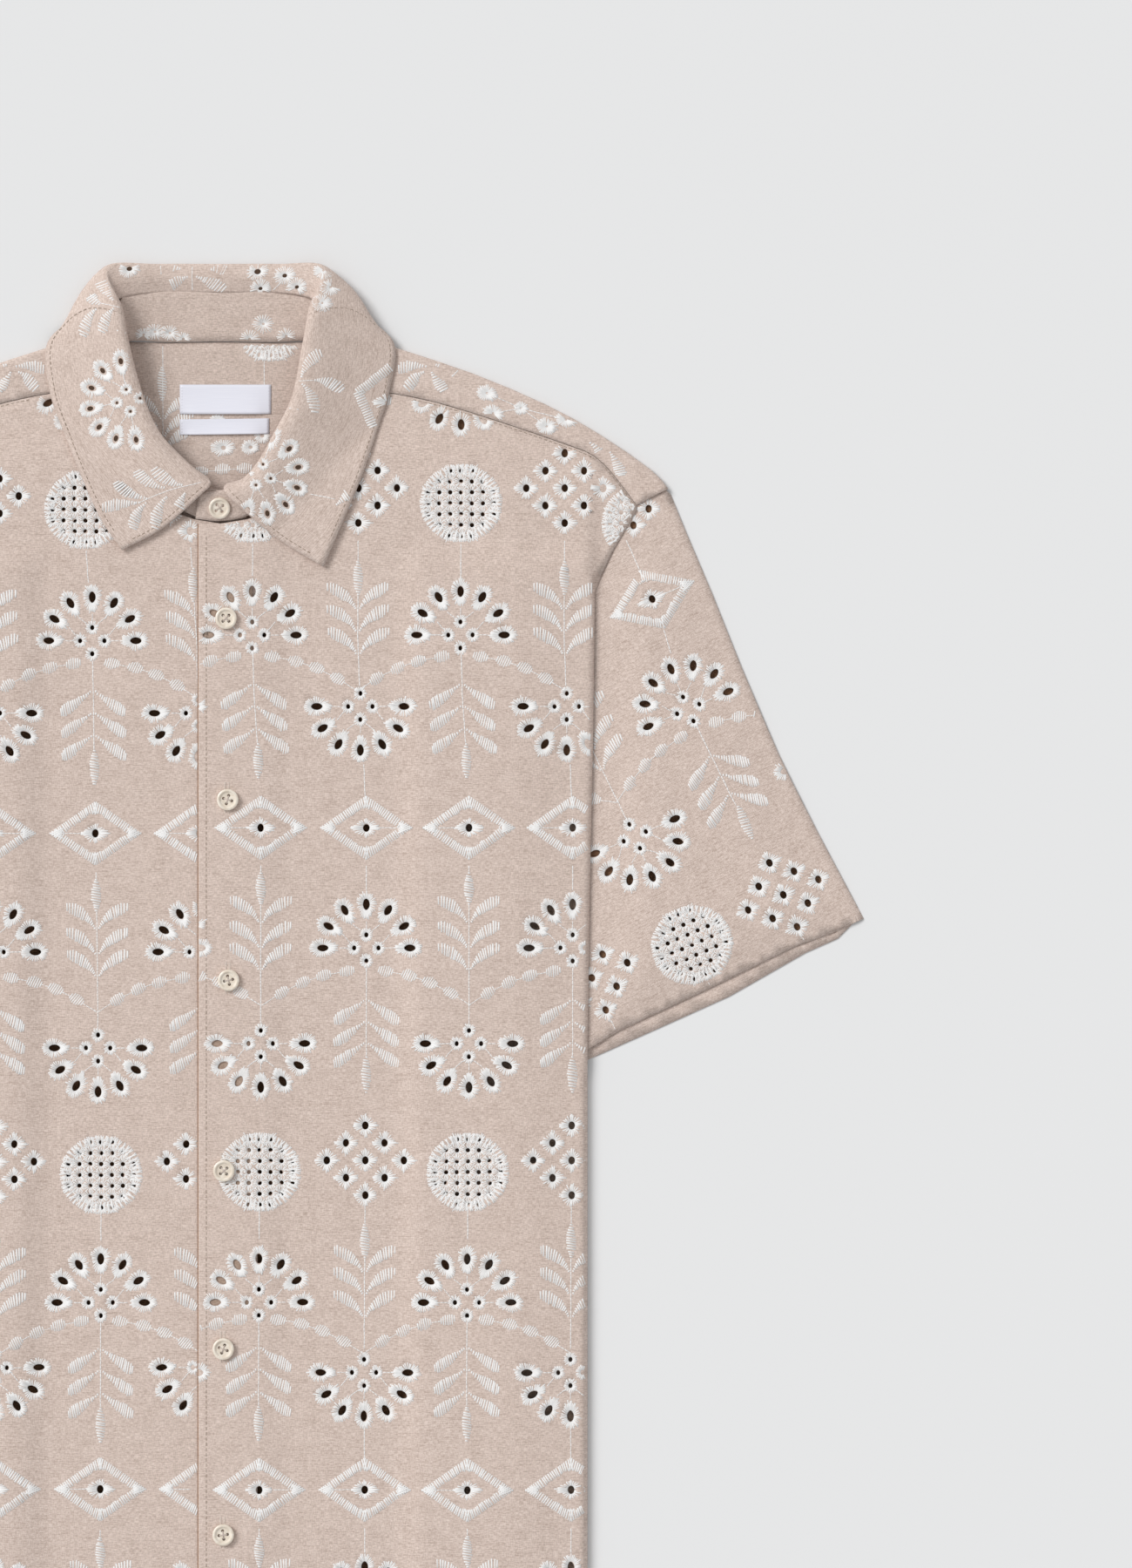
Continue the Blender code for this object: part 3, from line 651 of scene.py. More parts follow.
def cut_holes(found, outline, allowed, placed=None):
    """The holes that lie well inside a panel. Each is a little uneven in size and turn."""
    random = np.random.default_rng(7)
    kept = []
    for motif in found:
        spread = 0.3 if motif[0] == "disc" else 0.12
        for hx, hy, long, wide, turn in holes_of(*motif):
            if placed:
                hx, hy, turn = placed(hx, hy, turn)
            grow = random.normal(0, 0.05, 2)
            shift = random.normal(0, spread, 3)
            hx, hy, turn = hx + shift[0], hy + shift[1], turn + shift[2]
            kept.append((hx, hy, long * (1 + grow[0]), wide * (1 + grow[1]), turn))
    x, y = np.array([hole[:2] for hole in kept]).T
    good = inside(outline, x, y) & (distance_to(outline + outline[:1], x, y) > HOLE_MARGIN) & allowed(x, y)
    return [hole for hole, ok in zip(kept, good) if ok]


# %% Lay the columns on each panel
ROWS_RIGHT = [
    (DISC_ROW + REPEAT, {}),
    (DISC_ROW, {"lozenge": 8.9, "disc": 0.5, "diamond": 2.8, "crown": -0.6}),
    (DISC_ROW - REPEAT, {"lozenge": 3.6, "disc": -2.7, "crown": -3.0, "neck": -1.8, "diamond": 3.2}),
]
ROWS_LEFT = [
    (DISC_ROW + REPEAT, {}),
    (DISC_ROW, {"all": -3.7, "lozenge": 4.5, "disc": -3.0, "diamond": -0.3, "base": -2.2, "foot": -2.5}),
    (DISC_ROW - REPEAT, {"all": -1.0, "lozenge": 3.0, "disc": -4.4, "crown": -3.2, "neck": 1.0,
                         "diamond": 3.5}),
]
ROWS_SLEEVE = [(DIAMOND_DROP, {}), (DIAMOND_DROP - REPEAT, {"lozenge": 5.8, "disc": 0.6})]
LEAN_RIGHT = [(-293, 1.4), (-240, 1.0), (-118, 1.7), (-49, 2.3), (70, 2.3), (116, 0.5), (140, -1.2),
              (176, -2.4), (248, -2.1)]
LEAN_LEFT = [(-278, 1.7), (-120, 2.2), (-50, 0.5), (3, 0.0), (68, -1.0), (134, -2.0), (173, -2.7),
             (229, -6.4)]
LEAN_SLEEVE = [(-184, 1.8), (-116, -3.4), (-60, -6.0), (-20, -1.0), (0, 0.0)]
ARMHOLE_DISC = ("disc", 232.5, 238.0, 1)  # only a part of it lies on the front
chart = {"right": motifs(COLUMNS_RIGHT, ROWS_RIGHT, LEAN_RIGHT) + [ARMHOLE_DISC],
         "left": motifs(COLUMNS_LEFT, ROWS_LEFT, LEAN_LEFT),
         "sleeve": motifs(COLUMNS_SLEEVE, ROWS_SLEEVE, LEAN_SLEEVE)}
print("motifs:", {name: len(found) for name, found in chart.items()})

# %% [markdown]
# ## The fronts
# The right-hand front laps over the left one and folds back under itself at the placket. The facing is a
# strip just under the front, painted in a light shade, and the eyelets over it show it, so they look pale,
# while the others show the back's inner face, painted in deep shade, and look dark.
# The sides roll down where they are folded under.

# %% Draw the fronts and say where their eyelets open
SIDES = (("right", 1), ("left", -1))


def side_lines(insets, side):
    """Lines just inside the side fold, where the cloth rolls over."""
    levels = (HEM - 5, -300, -220, -140, -76, -69, -62, -56, -10, 60, 130, 185, 207)
    return [[(side * (float(side_edge(y)) - d), y) for y in levels] for d in insets]


def front_outline(side, edge_x):
    neck = plain(curve(NECK_FRONT, 3))
    seam = [(x, y - GAP) for x, y in curve(SHOULDER_SEAM, 2)]
    edge = [(float(side_edge(y)), y) for y in (200, 120, 40, -50, -58, -65, -72, -110, -200, -300, HEM)]
    outline = on_side(neck + seam + ARMHOLE + edge, side)
    outline += [(edge_x, y) for y in (HEM, -200, 0, 150, NECK_FRONT[0][1] - 0.2)]
    return [(x, y - GAP) if y > HEM + 1 and abs(x) < 61 else (x, y) for x, y in outline]


OPEN_HALF_WIDTH = 198.0  # past this a front rolls under
OPEN_TO_ARMHOLE = 206.0  # the same above the armhole's lower corner


def open_cloth(side, first):
    """Where a front has open eyelets: past its placket and short of its side fold and its armhole."""
    def allowed(x, y):
        out = side * x
        return (out > first) & ((out < OPEN_HALF_WIDTH) | ((y > ABOVE_ARMHOLE) & (out < OPEN_TO_ARMHOLE)))
    return allowed


outlines = {"right": front_outline(1, PLACKET_EDGE), "left": front_outline(-1, UNDERLAP)}
tops = {"right": front_right_top, "left": front_top}
opened = {"right": open_cloth(1, -8), "left": open_cloth(-1, 17)}
print("fronts:", {name: round(area_of(loop) * 1e4) for name, loop in outlines.items()}, "cm2")

# %% Make the two fronts
panels = {}
for name, side in SIDES:
    lines = side_lines((0.25, 0.9, 1.9, 3.2, 5.0), side)
    if side > 0:
        lines += [[(PLACKET_EDGE + d, HEM - 5), (PLACKET_EDGE + d, 245)] for d in (0.2, 0.6, 1.3)]
    holes = cut_holes(chart[name], outlines[name], opened[name])
    obj = panel(f"front_{name}_cloth", outlines[name], tops[name], holes, lines)
    # Each front's inner face is painted in deep shade.
    panels[f"front_{name}"] = sewn(obj, [f"front_{name}"], linen_face, linen_painted_shade)
    print("holes:", len(holes))
# A painted shadow line: the right-hand front's faces within 0.6 mm of its folded edge take the painted deep
# shade.
painted_shade_on(panels["front_right"], linen_painted_shade, lambda x, y, z, up: x < PLACKET_EDGE + 0.6)

# %% Turn the facing under
FACING = (PLACKET_EDGE + 1.2, 17.5)


def facing_top(x, y):
    return front_right_top(x, y) - CLOTH - 0.12


outlines["facing"] = [(FACING[0], HEM + 1), (FACING[1], HEM + 1), (FACING[1], 237.5), (FACING[0], 236.0)]
obj = panel("placket_facing", outlines["facing"], facing_top)
# The facing lies under the front and is painted in a lighter shade.
panels["facing"] = sewn(obj, [], linen_shaded, thickness=0.5)

# %% [markdown]
# ## The back, with its shoulder strips
# One piece covers the back and wraps forward over each shoulder to a seam on the front. Two flat panels are
# made, the back itself and the strip on top, and both end on the same line round the shoulder fold, where
# their points are merged, so the cloth runs round the fold in one.

# %% Round the shoulder
STRIP_TOP = LAYER + FOLD_RISE + WALL
SHOULDER_RADIUS = STRIP_TOP / 2


def shoulder_rim(out):
    """The shoulder fold moved out by a distance, on the right-hand side."""
    fold = [Vector(p) for p in curve(SHOULDER_FOLD, 2)]
    found = []
    for k, p in enumerate(fold):
        along = fold[min(k + 1, len(fold) - 1)] - fold[max(k - 1, 0)]
        normal = Vector((-along.y, along.x)).normalized()
        found.append(tuple(p + normal * out))
    return found


rim = shoulder_rim(SHOULDER_RADIUS)


def shoulder_round(x, y):
    """0 on the shoulder's outermost line, 1 where its round ends."""
    return rounded(distance_to(rim, np.abs(x), y), SHOULDER_RADIUS)


def back_under(x, y):
    """The back's lower face, turned up at the shoulders, and flat under the armhole's corner."""
    return lift(x, y) * smooth((208.5 - np.abs(x)) / 5) + 0.02 + SHOULDER_RADIUS * (1 - shoulder_round(x, y))


def strip_top(x, y):
    bulge = 0.5 * smooth(distance_to(SHOULDER_SEAM, np.abs(x), y) / 7) * shoulder_round(x, y)
    return SHOULDER_RADIUS * (1 + shoulder_round(x, y)) + bulge


# %% Make the back
MERGED = 0.02  # points nearer than this become one
side_fold = [(float(side_edge(y)) - 5.0, y) for y in (200, 100, 0, -100, -200, -300, HEM)]
half = NECK_BACK + rim + ARMHOLE + side_fold
back_outline = half + on_side(half[1:], -1)[::-1]
strip_outline = rim + plain(curve(SHOULDER_SEAM, 2))[::-1]
round_lines = [shoulder_rim(SHOULDER_RADIUS - d) for d in (0.15, 0.5, 1.0, 1.85)]
lines = [on_side(line, side) for line in round_lines for _, side in SIDES]
sheets = [panel("back_cloth", back_outline, back_under, lines=lines, spacing=6.0, underside=True)]
for _, side in SIDES:
    lines = [on_side(line, side) for line in round_lines]
    sheets.append(panel("strip", on_side(strip_outline, side), strip_top, lines=lines, spacing=4.0))
back = joined(*sheets)
bpy.ops.object.mode_set(mode="EDIT")
bpy.ops.mesh.select_all(action="SELECT")
bpy.ops.mesh.remove_doubles(threshold=MERGED * MM)
bpy.ops.object.mode_set(mode="OBJECT")
# The back's inner face takes the linen with a little painted shade.
panels["back"] = sewn(back, ["back"], linen_face, linen_neck_painted_shade, BACK_CLOTH)


# %% Shade the back's inner face
def back_inner(x, y, z, up):
    """The back's inner face, and not the strips that lie over it."""
    return (up > 0.3) & (z < lift(x, y) + BACK_CLOTH + 0.3)


# Painted shade: except inside the neck, the back's inner face lies under the fronts and is painted in deep
# shade; lower on the right it takes a lighter painted shade.
painted_shade_on(back, linen_painted_shade,
           lambda x, y, z, up: back_inner(x, y, z, up) & ((y < 236) | (np.abs(x) > 64)))
painted_shade_on(back, linen_shaded,
           lambda x, y, z, up: back_inner(x, y, z, up) & (x > 128) & (y < 75))
print("finishes of the back:", [finish.name for finish in back.data.materials])

# %% [markdown]
# ## The sleeves
# Each sleeve is a flat tube whose outer fold lies at the right of the picture. Its upper layer carries the
# pattern, turned 23.5 degrees with the grain, and its under layer peeps out below the hem.

# %% Draw the sleeves
SLEEVE_HEAD = 230.0  # the pattern stops below this, at the armhole's seam
SLEEVE_HEAD_EYELETS = [(235.7, 246.0), (227.3, 236.9)]
HEAD_HOLE = (4.5, 3.6)


def sleeve_outline(side, upper):
    fold = plain(curve(SLEEVE_FOLD, 3))
    armhole = [(x - 1.8, y + 1.2) for x, y in ARMHOLE[::-1]] + [(227.2, 250.0), (243.6, 257.6)]
    if upper:
        edge, hem = [(x - 0.1, y) for x, y in fold], SLEEVE_HEM[1:]
    else:
        edge, hem = [(x - 5.0, y - 1.6) for x, y in fold], SLEEVE_HEM_UNDER
    return on_side(edge + hem + SLEEVE_INNER[1:-1] + armhole, side)


def sleeve_holes(side, outline):
    """The open eyelets of an upper sleeve, clear of the body's side fold and of the sleeve's head."""
    def placed(u, v, turn):
        return *from_sleeve(side, u, v), side * (turn + SLEEVE_TILT)

    def allowed(x, y):
        return (np.abs(x) > side_edge(y) + 1.5) & (y < SLEEVE_HEAD)

    found = cut_holes(chart["sleeve"], outline, allowed, placed)
    return found + [(side * hx, hy, *HEAD_HOLE, math.pi / 2) for hx, hy in SLEEVE_HEAD_EYELETS]


for name, side in SIDES:
    outlines[f"sleeve_{name}_upper"] = sleeve_outline(side, True)
    outlines[f"sleeve_{name}_under"] = sleeve_outline(side, False)
print("outlines:", list(outlines))


# %% Make the sleeves
def far_from_hem(x, y, z, up):
    return (up > 0.3) & (distance_to(SLEEVE_HEM_UNDER, np.abs(x), y) > 12)


fold = curve(SLEEVE_FOLD, 3)
for name, side in SIDES:
    upper, under = f"sleeve_{name}_upper", f"sleeve_{name}_under"
    lines = [on_side([(p.x - d, p.y - 0.4 * d) for p in fold[1:]], side) for d in (0.35, 1.0, 2.1, 3.3, 4.6)]
    holes = sleeve_holes(side, outlines[upper])
    obj = panel(upper + "_cloth", outlines[upper], sleeve_top, holes, lines, grain=side * SLEEVE_TILT)
    # The upper layer's inner face is painted in deep shade.
    panels[upper] = sewn(obj, [upper], linen_face, linen_painted_shade)
    obj = panel(under + "_cloth", outlines[under], on_floor, spacing=7.0, grain=side * SLEEVE_TILT)
    panels[under] = sewn(obj, [under], linen_face)
    # Away from the hem the under layer's upper face lies beneath the upper layer, and it is painted in deep
    # shade there.
    painted_shade_on(panels[under], linen_painted_shade, far_from_hem)


# %% [markdown]
# ## The collar and its band
# A collar stands round the neck on its band, rolls over at the top and falls back onto the shoulders.
# Sections from the centre back to each front edge give its seam, its roll, its crown, its fall and its
# edge, and smooth curves run through them both ways. It is two plies of linen with stiffening between,
# about a millimetre thick.

# %% Write down the collar's sections
COLLAR_RIGHT = [
    [(0, 365.2, 2.25), (0, 374, 4.6), (0, 380.4, 3.2), (0, 375, 0.95), (0, 342, 0.8)],
    [(30, 365.2, 2.45), (30, 374, 5.2), (31, 380.4, 3.6), (32, 375, 0.95), (32, 343, 0.8)],
    [(51, 361, 7.5), (53, 370, 10.0), (56, 379, 9.0), (60, 374, 3.0), (56, 352, 0.9)],
    [(54, 349, 12.4), (49, 355, 14.5), (55, 360, 17.0), (75, 363, 7.0), (74, 352, 1.0)],
    [(51, 333, 14.0), (45.6, 336, 16.0), (52, 338, 18.4), (78, 342, 10.5), (95, 337.5, 4.9)],
    [(46, 308, 12.5), (39.8, 307.4, 14.5), (47, 306, 17.0), (70, 307, 10.5), (93, 312, 5.2)],
    [(36, 289, 11.5), (30.2, 287.8, 13.4), (38, 286, 15.8), (62, 284, 10.0), (86.4, 290, 5.0)],
    [(26, 274, 10.8), (21, 271, 12.6), (29, 268, 14.8), (52, 261, 9.6), (77, 262, 5.0)],
    [(14, 263, 10.4), (11, 259.6, 12.4), (19, 256, 14.2), (42, 244, 9.2), (67, 238, 5.0)],
    [(3, 259, 10.2), (2, 256, 12.4), (7, 250, 13.6), (31, 229.5, 9.0), (56.6, 213.8, 5.0)],
]
COLLAR_LEFT = [
    [(-34, 365.2, 2.45), (-34, 374, 5.2), (-35, 380.4, 3.6), (-36, 375, 0.95), (-36, 343, 0.8)],
    [(-57, 361, 7.5), (-60, 370, 10.0), (-62, 379, 9.0), (-66, 374, 3.0), (-60, 352, 0.9)],
    [(-58, 349, 12.4), (-54.2, 356, 14.5), (-60, 360, 17.0), (-79, 361, 7.0), (-76, 352, 1.0)],
    [(-55, 336, 14.0), (-50.9, 338.6, 16.0), (-57, 340, 18.4), (-81, 342, 10.5), (-95.5, 337.5, 4.9)],
    [(-50, 315, 14.2), (-45, 315, 15.6), (-52, 313, 17.6), (-73, 312, 10.5), (-94.5, 311, 5.2)],
    [(-41, 296, 13.0), (-37, 293, 14.4), (-44, 291, 16.2), (-66, 288, 10.0), (-87, 289, 5.0)],
    [(-30, 283, 12.2), (-26, 276, 13.4), (-33, 272, 15.0), (-55, 264, 9.6), (-77, 264, 5.0)],
    [(-17, 270, 11.6), (-14, 265, 13.0), (-21, 260, 14.4), (-42, 247, 9.2), (-66, 240, 5.0)],
    [(-6, 262, 10.2), (-5.5, 258.6, 12.4), (-10, 254, 13.6), (-32, 235, 9.0), (-54.5, 223, 5.0)],
]
STAND_HALF = [
    [(0, 338.4, 1.5), (0, 368.0, 2.4)], [(30, 338.0, 1.5), (32, 368.0, 2.6)],
    [(50, 338.6, 2.4), (53, 364.0, 6.0)], [(60, 332, 5.2), (56, 348, 11.2)],
    [(61, 316, 6.6), (52, 329, 12.8)], [(58, 298, 6.2), (46.5, 308, 11.2)],
    [(50, 276, 5.6), (37, 288, 10.0)], [(37, 257, 5.4), (26, 272, 9.2)],
    [(17, 243, 5.4), (13, 260, 8.6)], [(0, 239.2, 5.4), (0, 256, 8.4)],
    [(-14, 240.5, 5.4), (-12, 255, 8.2)],
]
COLLAR_CLOTH = 1.1
COLLAR_CLEAR = 0.35  # the fall keeps this far off the cloth beneath
print("sections:", len(COLLAR_RIGHT + COLLAR_LEFT), "of the collar,", len(STAND_HALF), "of half its band")

# %% Run smooth curves through the sections
FINE = 7  # parts that each stretch between two sections is divided into


def through(table):
    """Smooths a table of sections in both directions."""
    columns = [curve([row[i] for row in table], FINE) for i in range(len(table[0]))]
    return np.array([plain(curve(row, FINE)) for row in zip(*columns)])


def cloth_top(x, y):
    """What the collar rests on: a front, a shoulder strip, or the floor beyond the shoulder."""
    front = np.where(x > -14, front_right_top(np.maximum(x, PLACKET_EDGE + 2), y), front_top(x, y))
    found = np.where(y > seam_line(x), STRIP_TOP + 0.5, front)
    return np.where(y > 341 - 0.33 * np.maximum(np.abs(x) - 72, 0), -1.0, found)


def lap(x, y):
    """The layer that the right-hand side of the neck lies higher by at the front."""
    return overlap(x) * smooth((300 - y) / 20)


def run_along(path):
    """How far along a line each of its points lies."""
    return np.concatenate([[0], np.cumsum(np.linalg.norm(np.diff(path, axis=0), axis=1))])


def lofted(name, rows):
    """A sheet through rows of points, with a UV map that measures the cloth both ways."""
    long, wide = rows.shape[:2]
    numbers = np.arange(long * wide).reshape(long, wide)
    a, b = numbers[:-1, :-1], numbers[1:, 1:]
    faces = np.stack([a, numbers[:-1, 1:], b, numbers[1:, :-1]], -1).reshape(-1, 4)
    run = np.repeat(run_along(rows[:, wide // 2])[:, None], wide, 1)
    drop = np.array([run_along(row) for row in rows])
    return cloth_mesh(name, rows.reshape(-1, 3), faces, np.stack([run, drop], -1).reshape(-1, 2))


# %% Loft the collar and the band
leaf = through(COLLAR_LEFT[::-1] + COLLAR_RIGHT)
x, y = leaf[..., 0], leaf[..., 1]
leaf[..., 2] += np.where(x > -4, lap(x, y), 0.0)
past_fall = np.arange(leaf.shape[1]) > 2.5 * FINE
rest = cloth_top(x, y) + COLLAR_CLEAR + COLLAR_CLOTH / 2 + 1.6 * smooth((300 - y) / 70)
leaf[..., 2] = np.where(past_fall, np.maximum(leaf[..., 2], rest), leaf[..., 2])
obj = lofted("collar_leaf_cloth", leaf)
panels["collar"] = sewn(obj, ["collar_leaf"], linen_face, thickness=COLLAR_CLOTH, offset=0.0)

left_half = [on_side(row, -1) for row in STAND_HALF[:0:-1]]
right_half = [[(x, y, z + float(lap(x, y))) for x, y, z in row] for row in STAND_HALF]
band = through(left_half + right_half)
x, y = band[..., 0], band[..., 1]
at_back = smooth((52 - np.abs(x)) / 14) * smooth((y - 336) / 8)
band[..., 2] += 0.24 * np.sin(y / 2.1 + 0.9 * np.sin(x / 17)) * at_back
obj = lofted("collar_band_cloth", band)
# The band takes the linen with a little painted shade.
panels["stand"] = sewn(obj, ["collar_stand"], linen_neck_painted_shade, thickness=COLLAR_CLOTH, offset=0.0)

# %% [markdown]
# ## The thread
# The embroidery is off-white cotton, a little glossier than the linen. Every stitch is modelled as its own
# small closed ridge, because at this size the light on separate threads is what makes satin stitch look
# like satin. A stitch costs eight triangles. The stitches of one panel are joined in one mesh, worked out
# in whole arrays.

# %% Spin the thread
THREAD = 0.86  # width of a stitch
FINE_THREAD = 0.62
SATIN = 1.06  # width where stitches lie side by side
RISE = 0.26  # how far a stitch stands off the cloth
SINK = 0.06  # how far its ends go into the cloth
random = np.random.default_rng(11)


def thread(name, colour):
    cotton = Finish(name, Roughness=0.62, Sheen_Weight=0.25, Specular_IOR_Level=0.4)
    place = cotton.node("TexCoord", output=3)
    tone = cotton.node("TexNoise", Vector=place, Scale=420.0, Detail=2.0)
    wear = cotton.node("TexNoise", Vector=place, Scale=45.0, Detail=1.0)
    share = tone * 0.7 + wear * 0.3
    dark = tuple(c * 0.86 for c in colour) + (1,)
    pale = tuple(min(c * 1.12, 0.97) for c in colour) + (1,)
    return cotton.wire(Base_Color=cotton.mix(share, dark, pale))


ivory_thread = thread("ivory_thread", (0.95, 0.915, 0.885))
sewing_thread = thread("sewing_thread", (0.33, 0.25, 0.19))
print("satin stitch:", SATIN, "mm wide,", RISE, "mm high")


# %% Lay stitches on a surface
def strokes(starts, ends, width=THREAD):
    """Stitches as rows: x, y of each end and the width."""
    starts, ends = np.atleast_2d(starts), np.atleast_2d(ends)
    return np.column_stack([starts, ends, width * random.normal(1.0, 0.08, len(starts))])


def stitched(name, rows, height, material=ivory_thread, rise=RISE):
    """One mesh of small closed ridges, each from end to end of a stitch, laid at the height of the cloth.

    A stitch that would run off an edge of the cloth is left out: it misses the cloth or is too steep."""
    start, end, width = rows[:, 0:2], rows[:, 2:4], rows[:, 4:5]
    way = end - start
    long = np.linalg.norm(way, axis=1, keepdims=True)
    way /= np.maximum(long, 1e-6)
    side = np.column_stack([-way[:, 1], way[:, 0]]) * width / 2
    slope = np.minimum(0.5 * width, 0.3 * long) * way
    corners = np.stack([start + side, start - side, end + side, end - side, start + slope, end - slope], 1)
    lay = height(corners[..., 0], corners[..., 1]) - SINK
    kept = np.ptp(lay, axis=1) < 0.8 + 0.4 * long[:, 0]
    rows, corners, lay = rows[kept], corners[kept], lay[kept]
    lay[:, 4:] += rise * random.normal(1.0, 0.1, (len(rows), 1)) + SINK
    points = np.concatenate([corners, lay[..., None]], -1).reshape(-1, 3) * MM
    first = np.arange(len(rows))[:, None] * 6
    quads = np.concatenate([first + q for q in ([[0, 4, 5, 2]], [[1, 3, 5, 4]], [[0, 2, 3, 1]])])
    ends_of = np.concatenate([first + t for t in ([[0, 1, 4]], [[2, 5, 3]])])
    mesh = bpy.data.meshes.new(name)
    mesh.from_pydata(points, [], quads.tolist() + ends_of.tolist())
    mesh.materials.append(material)
    rounded_over = np.ones(len(mesh.polygons), bool)
    rounded_over[2 * len(rows):3 * len(rows)] = False
    mesh.polygons.foreach_set("use_smooth", rounded_over)
    obj = linked(name, mesh)
    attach(obj, "root")
    print(name, len(rows), "stitches")
    return obj


# %% [markdown]
# ## The motifs in stitches
# Four ways of stitching make the whole design. Rays of satin stitch run outwards from a hole's edge, each a
# little longer or shorter than the next. Leaves and beads are satin across a curved line. A diamond is
# satin between two outlines, fanning at its corners. Stems are a running thread.


# %% Stitch round a hole
def oval(along, across, point=2.0, tail=0.0):
    """A shape by its half sizes, how pointed it is (2 is round, 1 has straight sides) and its tail."""
    def reach(turns):
        c, s = np.cos(turns), np.sin(turns)
        u = np.sign(c) * np.abs(c) ** (2 / point) * (along + tail * (c < 0))
        v = np.sign(s) * np.abs(s) ** (2 / point) * across * (1 - 0.3 * np.maximum(-c, 0) * (tail > 0))
        return np.column_stack([u, v])
    return reach


def around(count, jitter):
    """Directions all round, each a little off its place."""
    return (np.arange(count) + random.uniform(-jitter, jitter, count)) * math.tau / count


def rays(hole, reach, count, width=THREAD):
    """Satin stitches from a hole's edge to a shape round it, by turns a little longer and shorter."""
    x, y, long, wide, turn = hole
    turns = around(count, 0.22)
    inner = ellipse(long, wide, turns) * 0.94
    outer = reach(turns)
    outer *= 1 + random.normal(0, 0.06, (count, 1)) - 0.07 * (np.arange(count) % 2)[:, None]
    return strokes(turned(inner, turn, x, y), turned(outer, turn, x, y), width)


PETAL = oval(7.3, 5.7, tail=1.4)
BUD = oval(4.1, 3.9)
STAR = oval(7.2, 6.8, point=1.25)
EYE = oval(8.4, 5.6, point=1.25)


def running(points, width=FINE_THREAD):
    """A thread that runs along a line in short stitches."""
    path = np.array(divided(plain(points), 2.4, closed=False))
    path[1:-1] += random.normal(0, 0.07, (len(path) - 2, 2))
    return strokes(path[:-1], path[1:], width)


# %% Stitch the palmettes, the lozenges and the discs
PETAL_FOOT = 14.8  # how far from the middle a petal's thread begins
BUD_EDGE = 3.6
NET_STITCHES = 17
RIM_STITCHES = 104
RIM_INSIDE = (35.2, 33.2)
RIM_OUTSIDE = (46.0, 43.6)


def palmette(x, y, up):
    """Seven petals in a fan round four buds, joined by fine threads."""
    holes = holes_of("palmette", x, y, up)
    parts = [rays(hole, PETAL, 36) for hole in holes[:PETALS]]
    parts += [rays((*hole[:4], math.pi / 2), BUD, 22) for hole in holes[PETALS:]]
    for i in range(PETALS):
        turn = math.pi * i / (PETALS - 1) * up
        foot = (x + PETAL_FOOT * math.cos(turn), y + PETAL_FOOT * math.sin(turn))
        bud = BUDS[1 if i < 2 else 2 if i > 4 else (0 if up > 0 else 3)]
        root = Vector((x + bud[0], y + bud[1]))
        root += (Vector(foot) - root).normalized() * BUD_EDGE
        parts.append(running([root, foot]))
    return np.concatenate(parts)


def lozenge(x, y, up):
    """Nine eyelets with pointed collars, set on their corner."""
    holes = holes_of("lozenge", x, y, up)
    return np.concatenate([rays((hx, hy, wide, long, 0.0), STAR, 30) for hx, hy, long, wide, _ in holes])


def disc(x, y, up):
    """A net of small eyelets inside a ring of loops."""
    parts = []
    for hole in holes_of("disc", x, y, up):
        way = ellipse(2.0, 2.0, around(NET_STITCHES, 0.3))
        reach = 3.4 / np.abs(way).max(axis=1) * random.uniform(0.85, 1.1, NET_STITCHES)
        parts.append(strokes(hole[:2] + way * 1.15, hole[:2] + way * reach[:, None], 0.76))
    turns = around(RIM_STITCHES, 0.2)
    lean = turns + np.where(np.arange(RIM_STITCHES) % 2, 0.06, -0.06)
    inner = ellipse(*RIM_INSIDE, turns) * random.uniform(0.9, 1.0, (RIM_STITCHES, 1))
    outer = ellipse(*RIM_OUTSIDE, lean) * random.uniform(0.98, 1.01, (RIM_STITCHES, 1))
    parts.append(strokes((x, y) + inner, (x, y) + outer, 1.0))
    return np.concatenate(parts)


# %% Stitch satin along a line
def across(path, widths, lean=0.0, width=SATIN):
    """Satin across a line: one stitch at each of its points, of the width given there, leaning along it."""
    path = np.asarray(path, float)
    way = np.gradient(path, axis=0)
    way /= np.linalg.norm(way, axis=1, keepdims=True)
    normal = np.column_stack([-way[:, 1], way[:, 0]])
    cut = normal * math.cos(lean) + way * math.sin(lean)
    half = (np.asarray(widths) / 2 * random.normal(1.0, 0.05, len(path)))[:, None]
    shift = random.normal(0, 0.12, (len(path), 1)) * normal
    return strokes(path + cut * half + shift, path - cut * half + shift, width)


def uneven(count):
    """Shares along a row of satin, with the gaps of hand-guided stitches."""
    return (np.arange(count) + 0.5 + random.uniform(-0.14, 0.14, count)) / count


def bow(start, through_point, end, count):
    """Points along a bowed line."""
    t = np.sort(uneven(count))[:, None]
    a, b, c = (np.array(p, float) for p in (start, through_point, end))
    return a * (1 - t) ** 2 + 2 * b * t * (1 - t) + c * t**2


# %% Stitch the leaves
LEAF_STITCHES = 15
LEAF_WIDTH = 6.9
TIP_LEAF_STITCHES = 13
UP_LEAF = [(1.0, 1.4), (4.8, 10.6), (17.4, 14.0)]
DOWN_LEAF = [(0.8, -0.8), (10.0, -8.6), (18.0, -12.6)]


def leaf_widths(t):
    """Narrow at the stem, widest at three quarters of the way, and round at the end."""
    end = np.clip((t - 0.8) / 0.2, 0, 1)
    return LEAF_WIDTH * (0.2 + 0.8 * smooth(t / 0.72)) * np.sqrt(1 - 0.84 * end**2)


